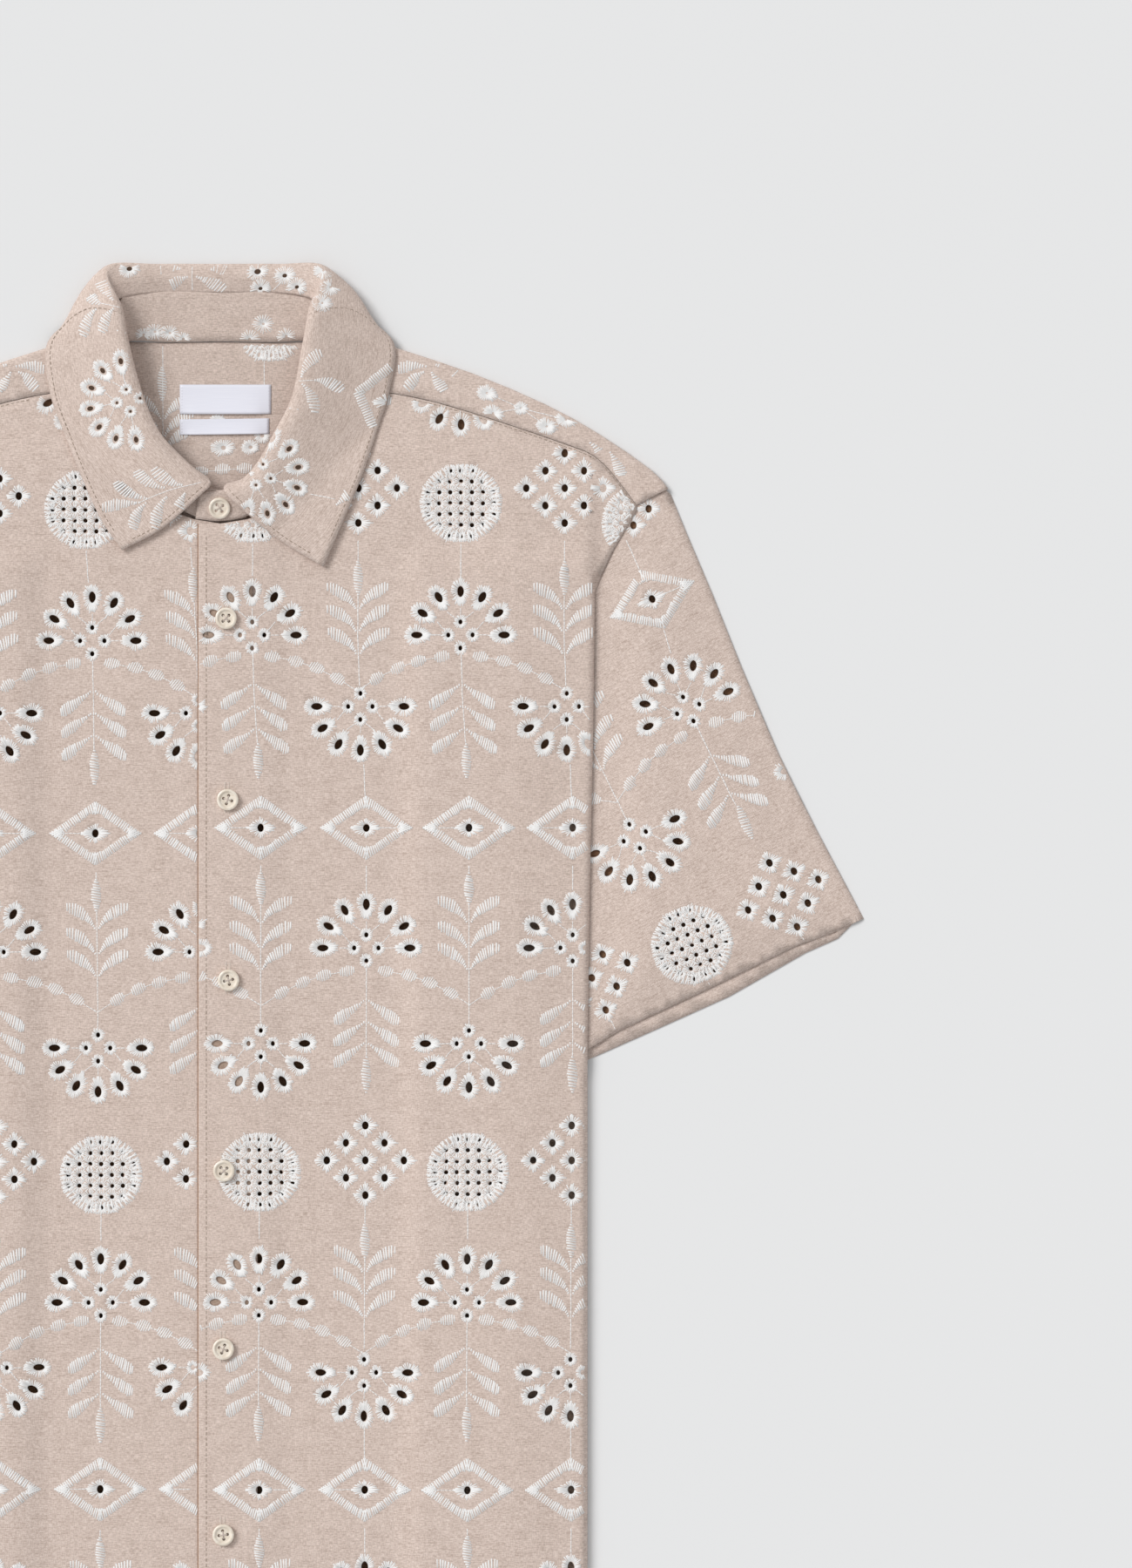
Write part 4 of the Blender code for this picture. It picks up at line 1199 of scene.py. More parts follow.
def leaf_pair(x, y, up):
    """Two curved leaves, one each side of the stem, that widen from the stem and end round."""
    t = (np.arange(LEAF_STITCHES) + 0.5) / LEAF_STITCHES
    widths = leaf_widths(t)
    parts = []
    for side in (1, -1):
        points = [(x + side * px, y + py) for px, py in (UP_LEAF if up > 0 else DOWN_LEAF)]
        parts.append(across(bow(*points, LEAF_STITCHES), widths, side * up * 0.34))
    return np.concatenate(parts)


def tip_leaf(x, top, bottom):
    """A straight leaf along the stem, pointed at both ends."""
    t = uneven(TIP_LEAF_STITCHES)
    path = np.column_stack([np.full(TIP_LEAF_STITCHES, x), top + (bottom - top) * t])
    return across(path, 5.0 * np.sin(math.pi * t) ** 0.7 + 0.7, 0.18)


# %% Stitch the beads and the diamonds
BEAD = (8.0, 6.4)
GARLAND = [(10.6, 0.0), (23.5, 2.4), (35.0, 6.2), (46.6, 12.0)]
GARLAND_END = (57.6, 18.9)


def bead(middle, way):
    t = np.linspace(-0.92, 0.92, 7)
    return across(middle + way * (t * BEAD[0] / 2)[:, None], BEAD[1] * np.sqrt(1 - t**2 * 0.8), 0.12, 0.92)


def garland(x, y):
    """Four satin beads on a thread, each side of a palmette's foot."""
    parts = []
    for side in (1, -1):
        beads = [np.array((x + side * gx, y - gy)) for gx, gy in GARLAND]
        ends = beads + [np.array((x + side * GARLAND_END[0], y - GARLAND_END[1]))]
        for middle, after in zip(beads, ends[1:]):
            way = (after - middle) / np.linalg.norm(after - middle)
            to_edge = way * BEAD[0] / 2
            parts.append(bead(middle, way))
            parts.append(running([middle + to_edge, after - to_edge * (after is not ends[-1])]))
    return np.concatenate(parts)


DIAMOND = (26.0, 18.0)
DIAMOND_STITCHES = 23


def diamond(x, y, up):
    """A band of satin between two outlines, with an eyelet in the middle and a thread to one corner."""
    wide, tall = DIAMOND
    t = uneven(DIAMOND_STITCHES)
    parts = [rays((x, y, EYE_HOLE[1], EYE_HOLE[0], 0.0), EYE, 30)]
    for sx in (1, -1):
        for sy in (1, -1):
            outer = np.column_stack([sx * wide * (1 - t), sy * tall * t])
            straight = np.array([-sx * tall, -sy * wide]) / math.hypot(wide, tall)
            fan = np.column_stack([-sx * smooth((0.22 - t) / 0.22), -sy * smooth((t - 0.55) / 0.45)])
            way = straight + 1.5 * fan
            way /= np.linalg.norm(way, axis=1, keepdims=True)
            long = 4.9 + 3.6 * smooth((0.16 - t) / 0.16) + 2.2 * smooth((t - 0.8) / 0.2)
            long = (long * random.normal(1, 0.05, len(t)))[:, None]
            parts.append(strokes((x, y) + outer, (x, y) + outer + way * long, SATIN))
    side = -1 if random.uniform() < 0.6 else 1
    parts.append(running([(x + side * 7.8, y), (x + side * (wide - 7), y)]))
    return np.concatenate(parts)


# %% [markdown]
# ## The stems and sprays of each column
# Everything between the big motifs hangs on the columns' stems. The table says, for each kind of column,
# how far below its disc or lozenge each thing lies, in millimetres. The chart and the tables are then
# worked in stitches, panel by panel, and the stitches that don't lie wholly on the panel are left out.

# %% Chart the stems
STEMS = {
    "disc": {"stem": [(21.8, 39.6), (82.6, 131.5), (199.0, 202.6), (220.8, 286.0)],
             "up": [231.9, 245.8, 257.8], "down": [98.4, 110.4, 122.9],
             "tip": [(131.5, 151.2), (202.6, 220.8)], "garland": 84.0},
    "lozenge": {"stem": [(20.0, 31.2), (50.4, 100.2), (143.2, 163.0), (199.0, 212.6), (255.4, 303.9)],
                "up": [59.5, 71.5, 84.0], "down": [272.2, 284.2, 295.7],
                "tip": [(31.2, 50.4), (303.9, 324.5)], "garland": 257.1},
}


def stems(kind, x, y, lean):
    """The stem of one column with its sprays of leaves, and its garland. They lean with the column."""
    plan = STEMS[kind]

    def leaned(height):
        return x + float(np.interp(height, *zip(*lean)))

    def line(top, bottom):
        levels = np.linspace(y - top, y - bottom, 2 + int((bottom - top) / 8))
        return [(leaned(level), level) for level in levels]

    parts = [running(line(a, b), THREAD * 0.85) for a, b in plan["stem"]]
    parts += [leaf_pair(leaned(y - drop), y - drop, 1) for drop in plan["up"]]
    parts += [leaf_pair(leaned(y - drop), y - drop, -1) for drop in plan["down"]]
    parts += [tip_leaf(leaned(y - (a + b) / 2), y - a, y - b) for a, b in plan["tip"]]
    height = y - plan["garland"]
    return np.concatenate(parts + [garland(leaned(height), height)])


STITCH = {"palmette": palmette, "lozenge": lozenge, "disc": disc, "diamond": diamond,
          "stems_disc": lambda x, y, lean: stems("disc", x, y, lean),
          "stems_lozenge": lambda x, y, lean: stems("lozenge", x, y, lean)}
print("leaves on a disc's stem:", 2 * len(STEMS["disc"]["up"] + STEMS["disc"]["down"]))


# %% Embroider the fronts and the sleeves
def stitches_of(found):
    return np.concatenate([STITCH[kind](x, y, up) for kind, x, y, up in found])


def within(rows, outline, margin, allowed=lambda x, y: True):
    """The stitches that lie wholly on a panel."""
    loop = outline + outline[:1]
    good = np.ones(len(rows), bool)
    for k in (0, 2):
        x, y = rows[:, k], rows[:, k + 1]
        good &= inside(outline, x, y) & (distance_to(loop, x, y) > margin) & allowed(x, y)
    return rows[good]


shown = {"right": lambda x, y: (x < side_edge(y) - 1.2) | (y > ABOVE_ARMHOLE),
         "left": lambda x, y: x < PLACKET_EDGE + 1}
embroidery = {}
for name, allowed in shown.items():
    rows = within(stitches_of(chart[name]), outlines[name], 0.5, allowed)
    embroidery[f"front_{name}"] = stitched(f"front_{name}_embroidery", rows, tops[name])
pattern = stitches_of(chart["sleeve"])
for name, side in SIDES:
    rows = pattern.copy()
    for k in (0, 2):
        rows[:, k], rows[:, k + 1] = from_sleeve(side, pattern[:, k], pattern[:, k + 1])
    rows = rows[np.maximum(rows[:, 1], rows[:, 3]) < SLEEVE_HEAD]
    heads = [rays((side * x, y, *HEAD_HOLE[::-1], 0.0), STAR, 30) for x, y in SLEEVE_HEAD_EYELETS]
    rows = np.concatenate([rows, *heads])
    rows = within(rows, outlines[f"sleeve_{name}_upper"], 1.2, lambda x, y: np.abs(x) > side_edge(y) - 2)
    embroidery[f"sleeve_{name}_upper"] = stitched(f"sleeve_{name}_embroidery", rows, sleeve_top)


# %% [markdown]
# ## Embroidery that follows a modelled surface
# The collar and its band have no height formula, since they were lofted. A ray dropped from above onto the
# finished mesh finds the height instead, and a stitch that misses the cloth anywhere is left out. The
# collar was cut from the same embroidered cloth, so its motifs are the same ones, turned as the pieces were
# laid on it.


# %% Work stitches onto a modelled surface
def on_top_of(piece):
    """A height function that drops points onto a finished piece. It gives no number where it misses."""
    mesh = piece.data
    tree = BVHTree.FromPolygons([v.co for v in mesh.vertices], [p.vertices for p in mesh.polygons])

    def height(x, y):
        found = np.full(np.shape(x), np.nan)
        for place in np.ndindex(found.shape):
            hit = tree.ray_cast(Vector((x[place] * MM, y[place] * MM, 0.1)), Vector((0, 0, -1)))[0]
            if hit:
                found[place] = hit.z / MM
        return found

    return height


def moved(rows, turn, x, y, scale):
    """Stitches scaled and turned about the origin, and then moved."""
    ends = [turned(rows[:, k:k + 2] * scale, turn, x, y) for k in (0, 2)]
    return np.column_stack([*ends, rows[:, 4]])


def leaves(table):
    """One leaf of satin for each row: its root, the point that bows it, and its tip."""
    parts = []
    for root, bend, tip in table:
        count = max(5, round(math.dist(root, tip) / 1.45))
        widths = leaf_widths((np.arange(count) + 0.5) / count)
        parts.append(across(bow(root, bend, tip, count), widths, 0.2))
    return np.concatenate(parts)


# %% Chart the collar's embroidery
COLLAR_FANS = [(-50.4, 305.0, 1.76, 0.91), (21.6, 264.3, -1.9, 0.9)]
COLLAR_LEAVES = [
    [(-58.6, 359.5), (-63.4, 365.5), (-66.9, 372.0)], [(-66.1, 357.7), (-69.9, 360.0), (-72.1, 363.0)],
    [(-67.9, 355.5), (-73.6, 351.7), (-75.9, 340.0)], [(-58.3, 355.5), (-63.1, 351.7), (-65.4, 342.0)],
    [(-52.9, 352.5), (-53.8, 348.0), (-54.1, 342.0)], [(-30.1, 257.2), (-40.6, 258.0), (-46.3, 267.0)],
    [(-39.9, 251.5), (-51.1, 252.0), (-57.9, 261.0)], [(-44.4, 249.0), (-54.1, 249.0), (-65.4, 246.4)],
    [(-40.9, 249.3), (-47.4, 243.7), (-48.4, 234.4)], [(-29.4, 252.7), (-35.4, 246.0), (-36.4, 234.7)],
    [(-19.3, 254.5), (-22.6, 249.7), (-24.4, 239.5)], [(-20.4, 258.4), (-28.6, 258.7), (-36.9, 268.0)],
    [(44.6, 317.2), (46.4, 326.2), (56.1, 331.5)], [(51.6, 316.0), (59.1, 317.2), (67.4, 310.5)],
    [(44.9, 314.2), (51.6, 309.7), (52.1, 298.0)], [(38.9, 309.0), (40.7, 305.2), (40.7, 299.5)],
    [(63.6, 247.5), (68.9, 252.7), (75.2, 259.5)], [(-18.1, 373.9), (-24.1, 372.0), (-30.4, 367.0)],
    [(-13.9, 373.9), (-6.9, 372.0), (2.1, 366.4)], [(-21.9, 378.0), (-28.6, 379.2), (-33.9, 377.2)],
    [(-6.1, 377.5), (-1.6, 379.0), (2.9, 377.2)],
]
COLLAR_STEMS = [
    [(-72.1, 363.7), (-65.4, 358.5), (-52.6, 355.5)],
    [(-45.1, 249.0), (-38.4, 252.0), (-27.9, 256.0), (-10.6, 260.2)],
    [(41.1, 315.7), (51.6, 316.0)], [(49.4, 253.8), (62.9, 251.2)], [(-15.9, 379.5), (-15.9, 366.4)],
    [(28.6, 366.5), (37.0, 374.0)],
]
COLLAR_EYELETS = [(-50.4, 378.0, 3.0), (20.1, 376.6, 3.6), (35.1, 374.3, 2.6), (21.6, 367.4, 2.2),
                  (41.8, 368.0, 2.2)]
COLLAR_STARS = [(60.6, 367.5), (56.1, 358.5), (56.6, 376.9)]
DIAMOND_PART = [[(95.2, 325.4), (75.8, 309.8)], [(75.8, 309.8), (85.4, 287.4)]]
print("on the collar:", len(COLLAR_LEAVES), "leaves and", len(COLLAR_EYELETS), "eyelets")

# %% Embroider the collar
fan = palmette(0.0, 0.0, 1)
parts = [moved(fan, turn, x, y, scale) for x, y, turn, scale in COLLAR_FANS]
parts += [leaves(COLLAR_LEAVES)]
parts += [running(stem) for stem in COLLAR_STEMS]
parts += [rays((x, y, size, size * 0.8, 0.2), oval(6.2, 5.2), 28) for x, y, size in COLLAR_EYELETS]
parts += [rays((x, y, 1.2, 1.0, 0.0), oval(6.0, 5.0), 28) for x, y in COLLAR_STARS]
for path in DIAMOND_PART:
    path = divided(path, 1.45, closed=False)
    parts.append(across(path, np.full(len(path), 5.4)))
parts += [rays((91.6, 304.4, 2.4, 2.0, 0.0), EYE, 30)]
collar_height = on_top_of(panels["collar"])
embroidery["collar"] = stitched("collar_embroidery", np.concatenate(parts), collar_height)


# %% Shade the collar's eyelets
def painted_eyelet_shade(name, holes, height):
    """Painted shade in eyelets in doubled cloth: each bed is a thin dark oval laid on the cloth, in place of
    the ply beneath in shade.
    """
    ovals = [turned(ellipse(long, wide, HOLE_TURNS), turn, x, y) for x, y, long, wide, turn in holes]
    ovals = [np.column_stack([oval, height(*oval.T) + 0.07]) for oval in ovals]
    points = np.concatenate([oval for oval in ovals if not np.isnan(oval).any()])
    faces = np.arange(len(points)).reshape(-1, HOLE_SIDES)
    bed = sewn(cloth_mesh(name, points, faces, points[:, :2]), [], linen_painted_deep_shade, thickness=0.06)
    bed.data.shade_flat()
    return bed


holes = []
for x, y, turn, scale in COLLAR_FANS:
    for hx, hy, long, wide, own in holes_of("palmette", 0.0, 0.0, 1):
        place = turned(np.array([hx, hy]) * scale, turn, x, y)
        holes.append((*place, long * scale * 0.58, wide * scale * 0.7, own + turn))
holes += [(x, y, size, size * 0.8, 0.2) for x, y, size in COLLAR_EYELETS]
collar_eyelet_shade_patches = painted_eyelet_shade("collar_eyelet_shade", holes, collar_height)

# %% Embroider the band and the back inside the neck
BAND_STARS = [(-42.9, 342.0, 4.6), (-36.6, 343.7, 5.6), (-28.4, 343.0, 5.2), (-21.0, 339.8, 4.4),
              (23.1, 348.0, 6.2), (15.6, 339.7, 6.0), (35.9, 341.2, 5.6)]
parts = [rays((x, y, 1.4, 1.2, 0.0), oval(size, size * 0.86), 20, 0.7) for x, y, size in BAND_STARS]
band_height = on_top_of(panels["stand"])
embroidery["stand"] = stitched("collar_band_embroidery", np.concatenate(parts), band_height)

BACK_EYELETS = [(1.1, 279.7, 2.6, 7.0, 5.0), (16.1, 280.0, 2.0, 5.4, 4.2), (22.4, 286.4, 2.2, 4.6, 5.0),
                (-2.0, 294.6, 1.4, 4.6, 4.0)]
BACK_BEADS = [(-11.4, 266.4), (0.6, 267.9), (12.6, 268.5)]
parts = [disc(27.0, 349.0, 1), tip_leaf(-32.8, 324.7, 305.2), running([(-32.4, 336.0), (-32.4, 270.0)])]
parts += [running([(23.6, 328.0), (23.6, 300.0)]), running([BACK_BEADS[0], BACK_BEADS[-1]])]
parts += [leaf_pair(-32.5, y, 1) for y in (294.0, 284.5, 276.0)]
parts += [rays((x, y, size, size * 0.85, 0.0), oval(wide, tall), 28)
          for x, y, size, wide, tall in BACK_EYELETS]
parts += [bead(np.array(place), np.array((1.0, 0.05))) for place in BACK_BEADS]
neck = [(-60, 252), (-44, 250), (0, 244), (44, 250), (60, 270), (60, 337), (-60, 337), (-60, 252)]
rows = within(np.concatenate(parts), neck, 0.3, lambda x, y: y > 241)
embroidery["back"] = stitched("back_embroidery", rows, level(BACK_CLOTH + 0.02))

# %% Embroider the shoulders
STRIP_LEAVES = [
    [(113.5, 324.3), (105.0, 325.6), (97.3, 323.0)], [(112.0, 321.5), (106.5, 319.0), (102.0, 311.5)],
    [(115.8, 321.5), (119.0, 316.0), (123.3, 311.0)], [(118.0, 325.5), (124.0, 324.0), (129.5, 320.0)],
    [(203.0, 283.0), (209.0, 277.0), (213.0, 272.0)], [(214.0, 278.0), (219.0, 270.0), (221.0, 264.0)],
]
STRIP_STARS = [(146.6, 309.7), (150.1, 298.6), (179.4, 291.4), (190.0, 295.2)]
STRIP_HUB = (165.3, 301.4)
strips = [leaves(STRIP_LEAVES), rays((*STRIP_HUB, 1.2, 1.0, 0.0), BUD, 22)]
strips += [rays((x, y, 1.4, 1.0, -0.3), oval(6.2, 4.6), 30) for x, y in STRIP_STARS]
strips += [running([STRIP_HUB, star]) for star in STRIP_STARS]
strips = np.concatenate(strips)
rows = []
for _, side in SIDES:
    mirrored = strips * np.array([side, 1, side, 1, 1])
    rows.append(within(mirrored, on_side(strip_outline, side), 0.6))
embroidery["strips"] = stitched("shoulder_embroidery", np.concatenate(rows), strip_top)

# %% [markdown]
# ## Seams and topstitching
# Seams are sewn in a thread a little darker than the cloth, three or four stitches to the centimetre. A
# dashed row of the same small ridges shows them along the placket, the collar's edges, the shoulders and
# the hem. At each placket button the stitched end of its buttonhole peeps out.

# %% Sew the seams
SEAM_THREAD = 0.72
SEAM_RISE = 0.12
COLLAR_INSET = 2.9  # from the collar's edge to its topstitching
HEM_DEPTH = 25.0


def dashes(path, step=2.9, long=2.0):
    """Short stitches with gaps along a line of points."""
    path = np.array(divided([tuple(p[:2]) for p in path], 1.0, closed=False))
    run = run_along(path)
    starts = np.arange(0.5, run[-1] - long, step)
    ends = [np.column_stack([np.interp(at, run, axis) for axis in path.T]) for at in (starts, starts + long)]
    return strokes(*ends, SEAM_THREAD)


def beside_edge(edge, inner):
    """The line of the collar's topstitching: its edge, moved in towards the points of a second line."""
    way = inner - edge
    return edge + way / np.linalg.norm(way, axis=1, keepdims=True) * COLLAR_INSET


rows = [dashes(beside_edge(leaf[:, -1], leaf[:, -1 - FINE])[4:-4]),
        dashes(beside_edge(leaf[-1], leaf[-1 - FINE])[FINE:-2]),
        dashes(beside_edge(leaf[0], leaf[FINE])[FINE:-2])]
rows = np.concatenate(rows)
seams = {"collar": stitched("collar_topstitching", rows, collar_height, sewing_thread, SEAM_RISE)}
for name, side in SIDES:
    shoulder = [(side * p[0], p[1] - 1.6) for p in curve(SHOULDER_SEAM, 2)[3:]]
    rows = [dashes(shoulder), dashes([(side * x, HEM + HEM_DEPTH) for x in (-8.0, 198.0)])]
    if side > 0:
        rows.append(dashes([(PLACKET_EDGE + 5.0, y) for y in (HEM + 3, 233)]))
    rows = within(np.concatenate(rows), outlines[name], 0.5)
    key = f"front_{name}"
    seams[key] = stitched(key + "_topstitching", rows, tops[name], sewing_thread, SEAM_RISE)


# %% Stitch the buttonholes
BUTTONS = [(2.9, 185.5), (3.8, 85.7), (4.3, -13.7), (1.7, -118.6), (1.4, -216.7), (1.4, -319.0)]
BUTTONHOLE = (3.0, 16.5)
BUTTONHOLE_STITCHES = 24
BUTTONHOLE_RISE = 0.22
buttonhole_thread = thread("buttonhole_thread", (0.70, 0.60, 0.53))
parts = []
for x, y in BUTTONS:
    levels = y + 1.0 + np.linspace(-0.5, 0.5, BUTTONHOLE_STITCHES) * BUTTONHOLE[1]
    for _, side in SIDES:
        starts = np.column_stack([np.full(BUTTONHOLE_STITCHES, x - 0.4 + side * 0.25), levels])
        parts.append(strokes(starts, starts + (side * BUTTONHOLE[0] / 2, 0.1), 0.7))
rows = np.concatenate(parts)
seams["buttonholes"] = stitched("buttonholes", rows, front_right_top, buttonhole_thread, BUTTONHOLE_RISE)

# %% [markdown]
# ## The buttons
# A shirt button is a disc with a raised rim, a sunk middle and four holes. It starts as a cylinder: insets
# and moves of its top face turn the rim and the well, a boolean drills the holes, and a bevel softens the
# edges. One is modelled and then copied to each place. Crossed threads hold it, so they lie in the well
# from hole to hole.

# %% Turn a button
BUTTON_RADIUS = 5.9
BUTTON_THICKNESS = 2.6
RIM_RISE, WELL = 0.35, 0.95
HOLE_PLACE, HOLE_RADIUS = 1.65, 0.85
horn = Finish("horn", Roughness=0.34, Coat_Weight=0.35, Coat_Roughness=0.2)
cloud = horn.node("TexNoise", Vector=horn.node("TexCoord", output=3), Scale=260.0, Detail=2.0, Distortion=1.2)
horn.wire(Base_Color=horn.mix(cloud.between(0.35, 0.7), (0.78, 0.68, 0.56, 1), (0.90, 0.82, 0.71, 1)))

blank = (BUTTON_THICKNESS - RIM_RISE) * MM
bpy.ops.mesh.primitive_cylinder_add(
    vertices=40, radius=BUTTON_RADIUS * MM, depth=blank, location=(0, 0, blank / 2))
button = bpy.context.object
bpy.ops.object.transform_apply(location=True)
bpy.ops.object.mode_set(mode="EDIT")
bpy.ops.mesh.select_all(action="DESELECT")
bpy.ops.object.mode_set(mode="OBJECT")
for face in button.data.polygons:
    face.select = face.normal.z > 0.9
bpy.ops.object.mode_set(mode="EDIT")
bpy.ops.mesh.select_mode(type="FACE")
for inset, rise in ((0.7, RIM_RISE), (0.5, 0.0), (0.9, -WELL)):
    bpy.ops.mesh.inset(thickness=inset * MM)
    bpy.ops.transform.translate(value=(0, 0, rise * MM))
bpy.ops.object.mode_set(mode="OBJECT")
print("turned:", len(button.data.polygons), "faces")

# %% Drill it and soften its edges
for x, y in ((1, 1), (1, -1), (-1, 1), (-1, -1)):
    place = (x * HOLE_PLACE * MM, y * HOLE_PLACE * MM, 0)
    bpy.ops.mesh.primitive_cylinder_add(vertices=12, radius=HOLE_RADIUS * MM, depth=8 * MM, location=place)
    drill = bpy.context.object
    cut = button.modifiers.new("hole", "BOOLEAN")
    cut.operation = "DIFFERENCE"
    cut.object = drill
    apply_modifiers(button)
    bpy.data.objects.remove(drill)
softened = button.modifiers.new("edge", "BEVEL")
softened.width = 0.16 * MM
softened.segments = 2
apply_modifiers(button)
bpy.ops.object.shade_smooth_by_angle(angle=math.radians(40))
button.data.materials.append(horn.material)
pattern_mesh = button.data
bpy.data.objects.remove(button)
print("button:", len(pattern_mesh.polygons), "faces")

# %% Copy the button to its places
BUTTON_LIFT = 0.35  # its foot stands this far off the cloth
BUTTON_TURN = 0.5  # each is turned by this much more than the last
COLLAR_BUTTON = (-0.7, 246.4, 7.75)
BAND_SLOPE = math.atan(3.0 / 16.8)
places = {}
for number, (x, y) in enumerate(BUTTONS, 1):
    places[f"button_{number}"] = (x, y, float(front_right_top(x, y)) + BUTTON_LIFT, 0.0)
places["button_collar"] = (*COLLAR_BUTTON, BAND_SLOPE)
for i, (name, (x, y, z, tilt)) in enumerate(places.items()):
    mesh = pattern_mesh.copy()
    turn = Matrix.Rotation(tilt, 4, "X") @ Matrix.Rotation(BUTTON_TURN * i, 4, "Z")
    mesh.transform(Matrix.Translation(Vector((x, y, z)) * MM) @ turn)
    obj = linked(name + "_turned", mesh)
    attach(obj, "root")
    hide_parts(name)
print("buttons:", list(places))


# %% Sew the buttons on
def well_of(x, y):
    """The height of the nearest button's well."""
    deep = BUTTON_THICKNESS - WELL + 0.08
    on_band = COLLAR_BUTTON[2] + deep + (y - COLLAR_BUTTON[1]) * math.tan(BAND_SLOPE)
    return np.where(y > 235, on_band, front_right_top(x, y) + BUTTON_LIFT + deep)


parts = []
for i, (x, y, *_) in enumerate(places.values()):
    for corner in (0.25, 0.75):
        turn = BUTTON_TURN * i + corner * math.pi
        way = np.array([math.cos(turn), math.sin(turn)]) * HOLE_PLACE * 1.4
        for shift in (-0.18, 0.18):
            beside = np.array([-way[1], way[0]]) / np.hypot(*way) * shift
            parts.append(strokes((x, y) + way + beside, (x, y) - way + beside, 0.4))
seams["button_threads"] = stitched("button_threads", np.concatenate(parts), well_of, buttonhole_thread, 0.3)

# %% [markdown]
# ## The labels
# Two bare satin labels are sewn to the back inside the neck by their ends. Satin is smoother than linen, so
# it is given less roughness, with fine ribs for bump. The lower edges stand a little off the cloth.

# %% Weave the labels
LABELS = {"label_main": (-23.0, 27.4, 298.3, 314.6), "label_size": (-23.0, 26.4, 286.8, 295.4)}
satin = Finish("satin", Roughness=0.42, Sheen_Weight=0.3, Specular_IOR_Level=0.5)
place = satin.node("UVMap", {"uv_map": "cloth"})
ribs = satin.stretched(place, 60.0, 4200.0)
satin.wire(Base_Color=satin.mix(ribs, (0.79, 0.79, 0.88, 1), (0.88, 0.88, 0.95, 1)),
           Normal=satin.bump(ribs, 0.4, 0.00012))
label_thread = thread("label_thread", (0.74, 0.73, 0.80))
for name, (left, right, low, high) in LABELS.items():
    x, y = np.meshgrid(np.linspace(left, right, 27), np.linspace(high, low, 12), indexing="ij")
    drop = (high - y) / (high - low)
    ends = np.minimum(x - left, right - x)
    z = 1.25 + 1.1 * drop**2 * smooth(ends / 9) + 0.15 * np.sin(x / 7.0) * drop
    obj = lofted(name + "_satin", np.stack([x, y + 0.012 * (x - left) * (name == "label_size"), z], -1))
    panels[name] = sewn(obj, [name], satin.material, thickness=0.3)
    rows = [dashes([(end, low + 0.6), (end, high - 0.6)], 1.6, 1.1) for end in (left + 1.2, right - 1.2)]
    seams[name] = stitched(name + "_stitching", np.concatenate(rows), on_top_of(obj), label_thread, SEAM_RISE)


# %% [markdown]
# ## What is folded under
# At each side the front and the back are folded under the body together. They are hidden except for their
# edge at the side, where two layers show one above the other, so each is a rounded slab and the upper one
# is set in a little.

# %% Fold the sides under
FOLDED_UNDER = 88.0
INNER = BODY_HALF_WIDTH - FOLDED_UNDER


def folded_outline(step):
    """The outline of a folded layer on the right-hand side, set in by a step."""
    outer = 195 - step / 5
    return [(INNER + step, HEM + 3), (outer, HEM + 3), (outer, -88), (160, -79), (152, 20), (154, 100),
            (150, 140), (INNER + step + 14, 150)]


folded_loops = [folded_outline(0.0), folded_outline(7.0)]
for name, side in SIDES:
    key = f"folded_side_{name}"
    layers = [panel(key + "_cloth", on_side(loop, side), level(top), spacing=9.0)
              for loop, top in zip(folded_loops, (1.45, 2.9))]
    panels[key] = sewn(joined(*layers), [key], linen_face, thickness=1.35)


# %% [markdown]
# ## The floor
# The surface under the shirt is a plain pale sheet. It belongs to the picture and not to the shirt, so it
# is not attached to the shirt.

# %% Lay the floor
FLOOR_GREY = 0.83
bpy.ops.mesh.primitive_plane_add(size=8.0, location=(0, 0, 0))
floor = bpy.context.object
floor.name = "floor"
paper = Finish("paper", Roughness=0.95, Specular_IOR_Level=0.1)
grain = paper.node("TexNoise", Vector=paper.node("TexCoord", output=3), Scale=3.0, Detail=2.0)
greys = [(grey, grey, grey, 1) for grey in (FLOOR_GREY, FLOOR_GREY * 1.01)]
floor.data.materials.append(paper.wire(Base_Color=paper.mix(grain, *greys)))
print("floor:", [round(size, 1) for size in floor.dimensions], "m")

# %% [markdown]
# ## The cut of each piece
# The size that every sheet of cloth was cut to is worked out and printed.
# An outline gives the cut of a flat panel. For the collar, the sizes are measured along the lofted cloth.


def cut_of(loop, turn=0.0):
    """The sides of a rectangle round a flat outline, and its area, in metres."""
    size = np.ptp(turned(np.array(loop, float), turn), axis=0) * MM
    return tuple(map(float, size)), area_of(loop)


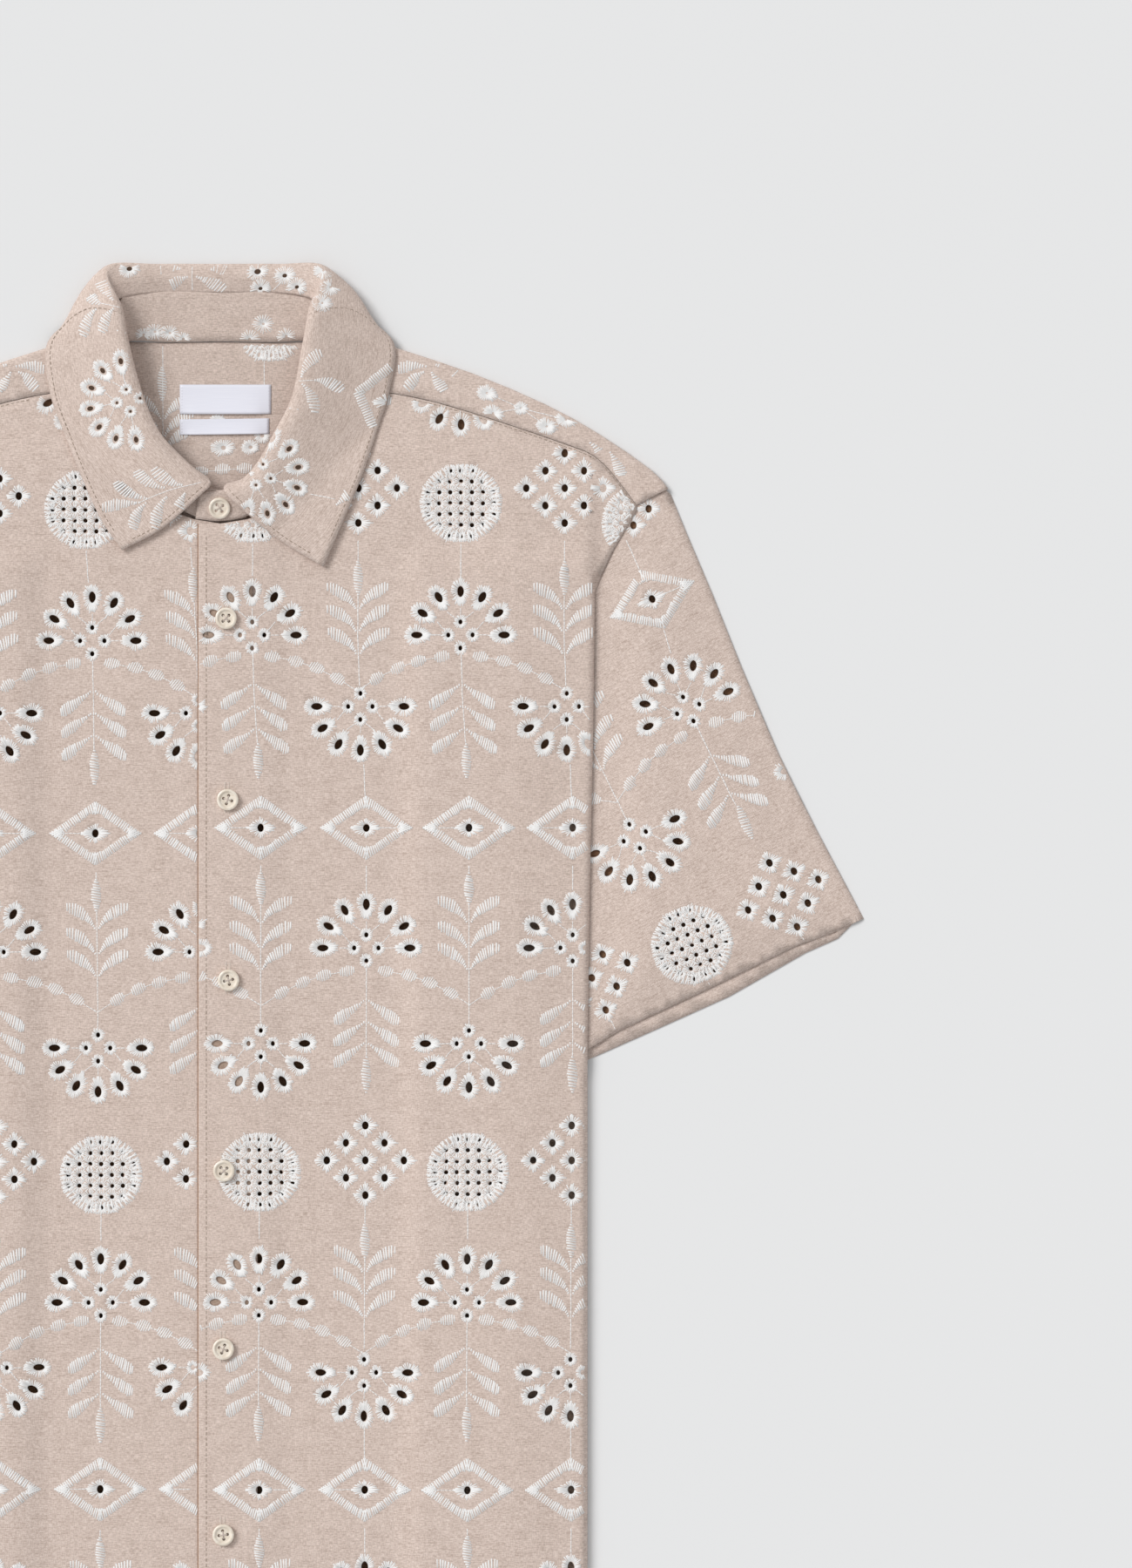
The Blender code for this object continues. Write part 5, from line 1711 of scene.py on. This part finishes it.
def cut_of_loft(rows):
    """The same for a lofted sheet, measured along the cloth."""
    down, along = np.diff(rows, axis=1), np.diff(rows, axis=0)
    drop = np.linalg.norm(down, axis=2).sum(axis=1).max()
    run = np.linalg.norm(along, axis=2).sum(axis=0).max()
    area = np.linalg.norm(np.cross(down[:-1], along[:, :-1]), axis=2).sum()
    return (float(run) * MM, float(drop) * MM), float(area) * MM**2


def declare(name, flat, area, rests_on, *pieces):
    min(area, flat[0] * flat[1])
    print(f"{name}: {flat[0] * 1000:.0f} x {flat[1] * 1000:.0f} mm, {area * 1e4:.0f} cm2")


declare("front_right", *cut_of(outlines["right"]), ["front_left_cloth", "back_cloth"],
        embroidery["front_right"], seams["front_right"], seams["buttonholes"], seams["button_threads"])
declare("front_left", *cut_of(outlines["left"]), ["back_cloth"],
        embroidery["front_left"], seams["front_left"])
declare("facing", *cut_of(outlines["facing"]), ["front_left_cloth"])
(back_wide, back_long), back_area = cut_of(back_outline)
strip_deep = max(math.dist(a, b) for a, b in zip(curve(SHOULDER_FOLD, 2), curve(SHOULDER_SEAM, 2))) * MM
declare("back", (back_wide, back_long + strip_deep), back_area + 2 * area_of(strip_outline), ["floor"],
        embroidery["back"], embroidery["strips"])
(fold_wide, fold_long), fold_area = cut_of(folded_loops[0])
fold_area += area_of(folded_loops[1])
for name, side in SIDES:
    for layer, below in (("upper", f"sleeve_{name}_under_cloth"), ("under", "floor")):
        key = f"sleeve_{name}_{layer}"
        pieces = [embroidery[key]] if key in embroidery else []
        declare(key, *cut_of(outlines[key], -side * SLEEVE_TILT), [below], *pieces)
    declare(f"folded_side_{name}", (2 * fold_wide, fold_long), fold_area, ["floor"])
declare("collar", *cut_of_loft(leaf),
        ["front_right_cloth", "front_left_cloth", "collar_band_cloth", "back_cloth"],
        embroidery["collar"], seams["collar"], collar_eyelet_shade_patches)
declare("stand", *cut_of_loft(band), ["back_cloth", "front_right_cloth"], embroidery["stand"])
TURNED_IN = 1.0  # at each long edge of a label
for name, (left, right, low, high) in LABELS.items():
    flat = ((right - left) * MM, (high - low + 2 * TURNED_IN) * MM)
    declare(name, flat, (right - left) * (high - low) * MM**2, ["back_cloth"], seams[name])
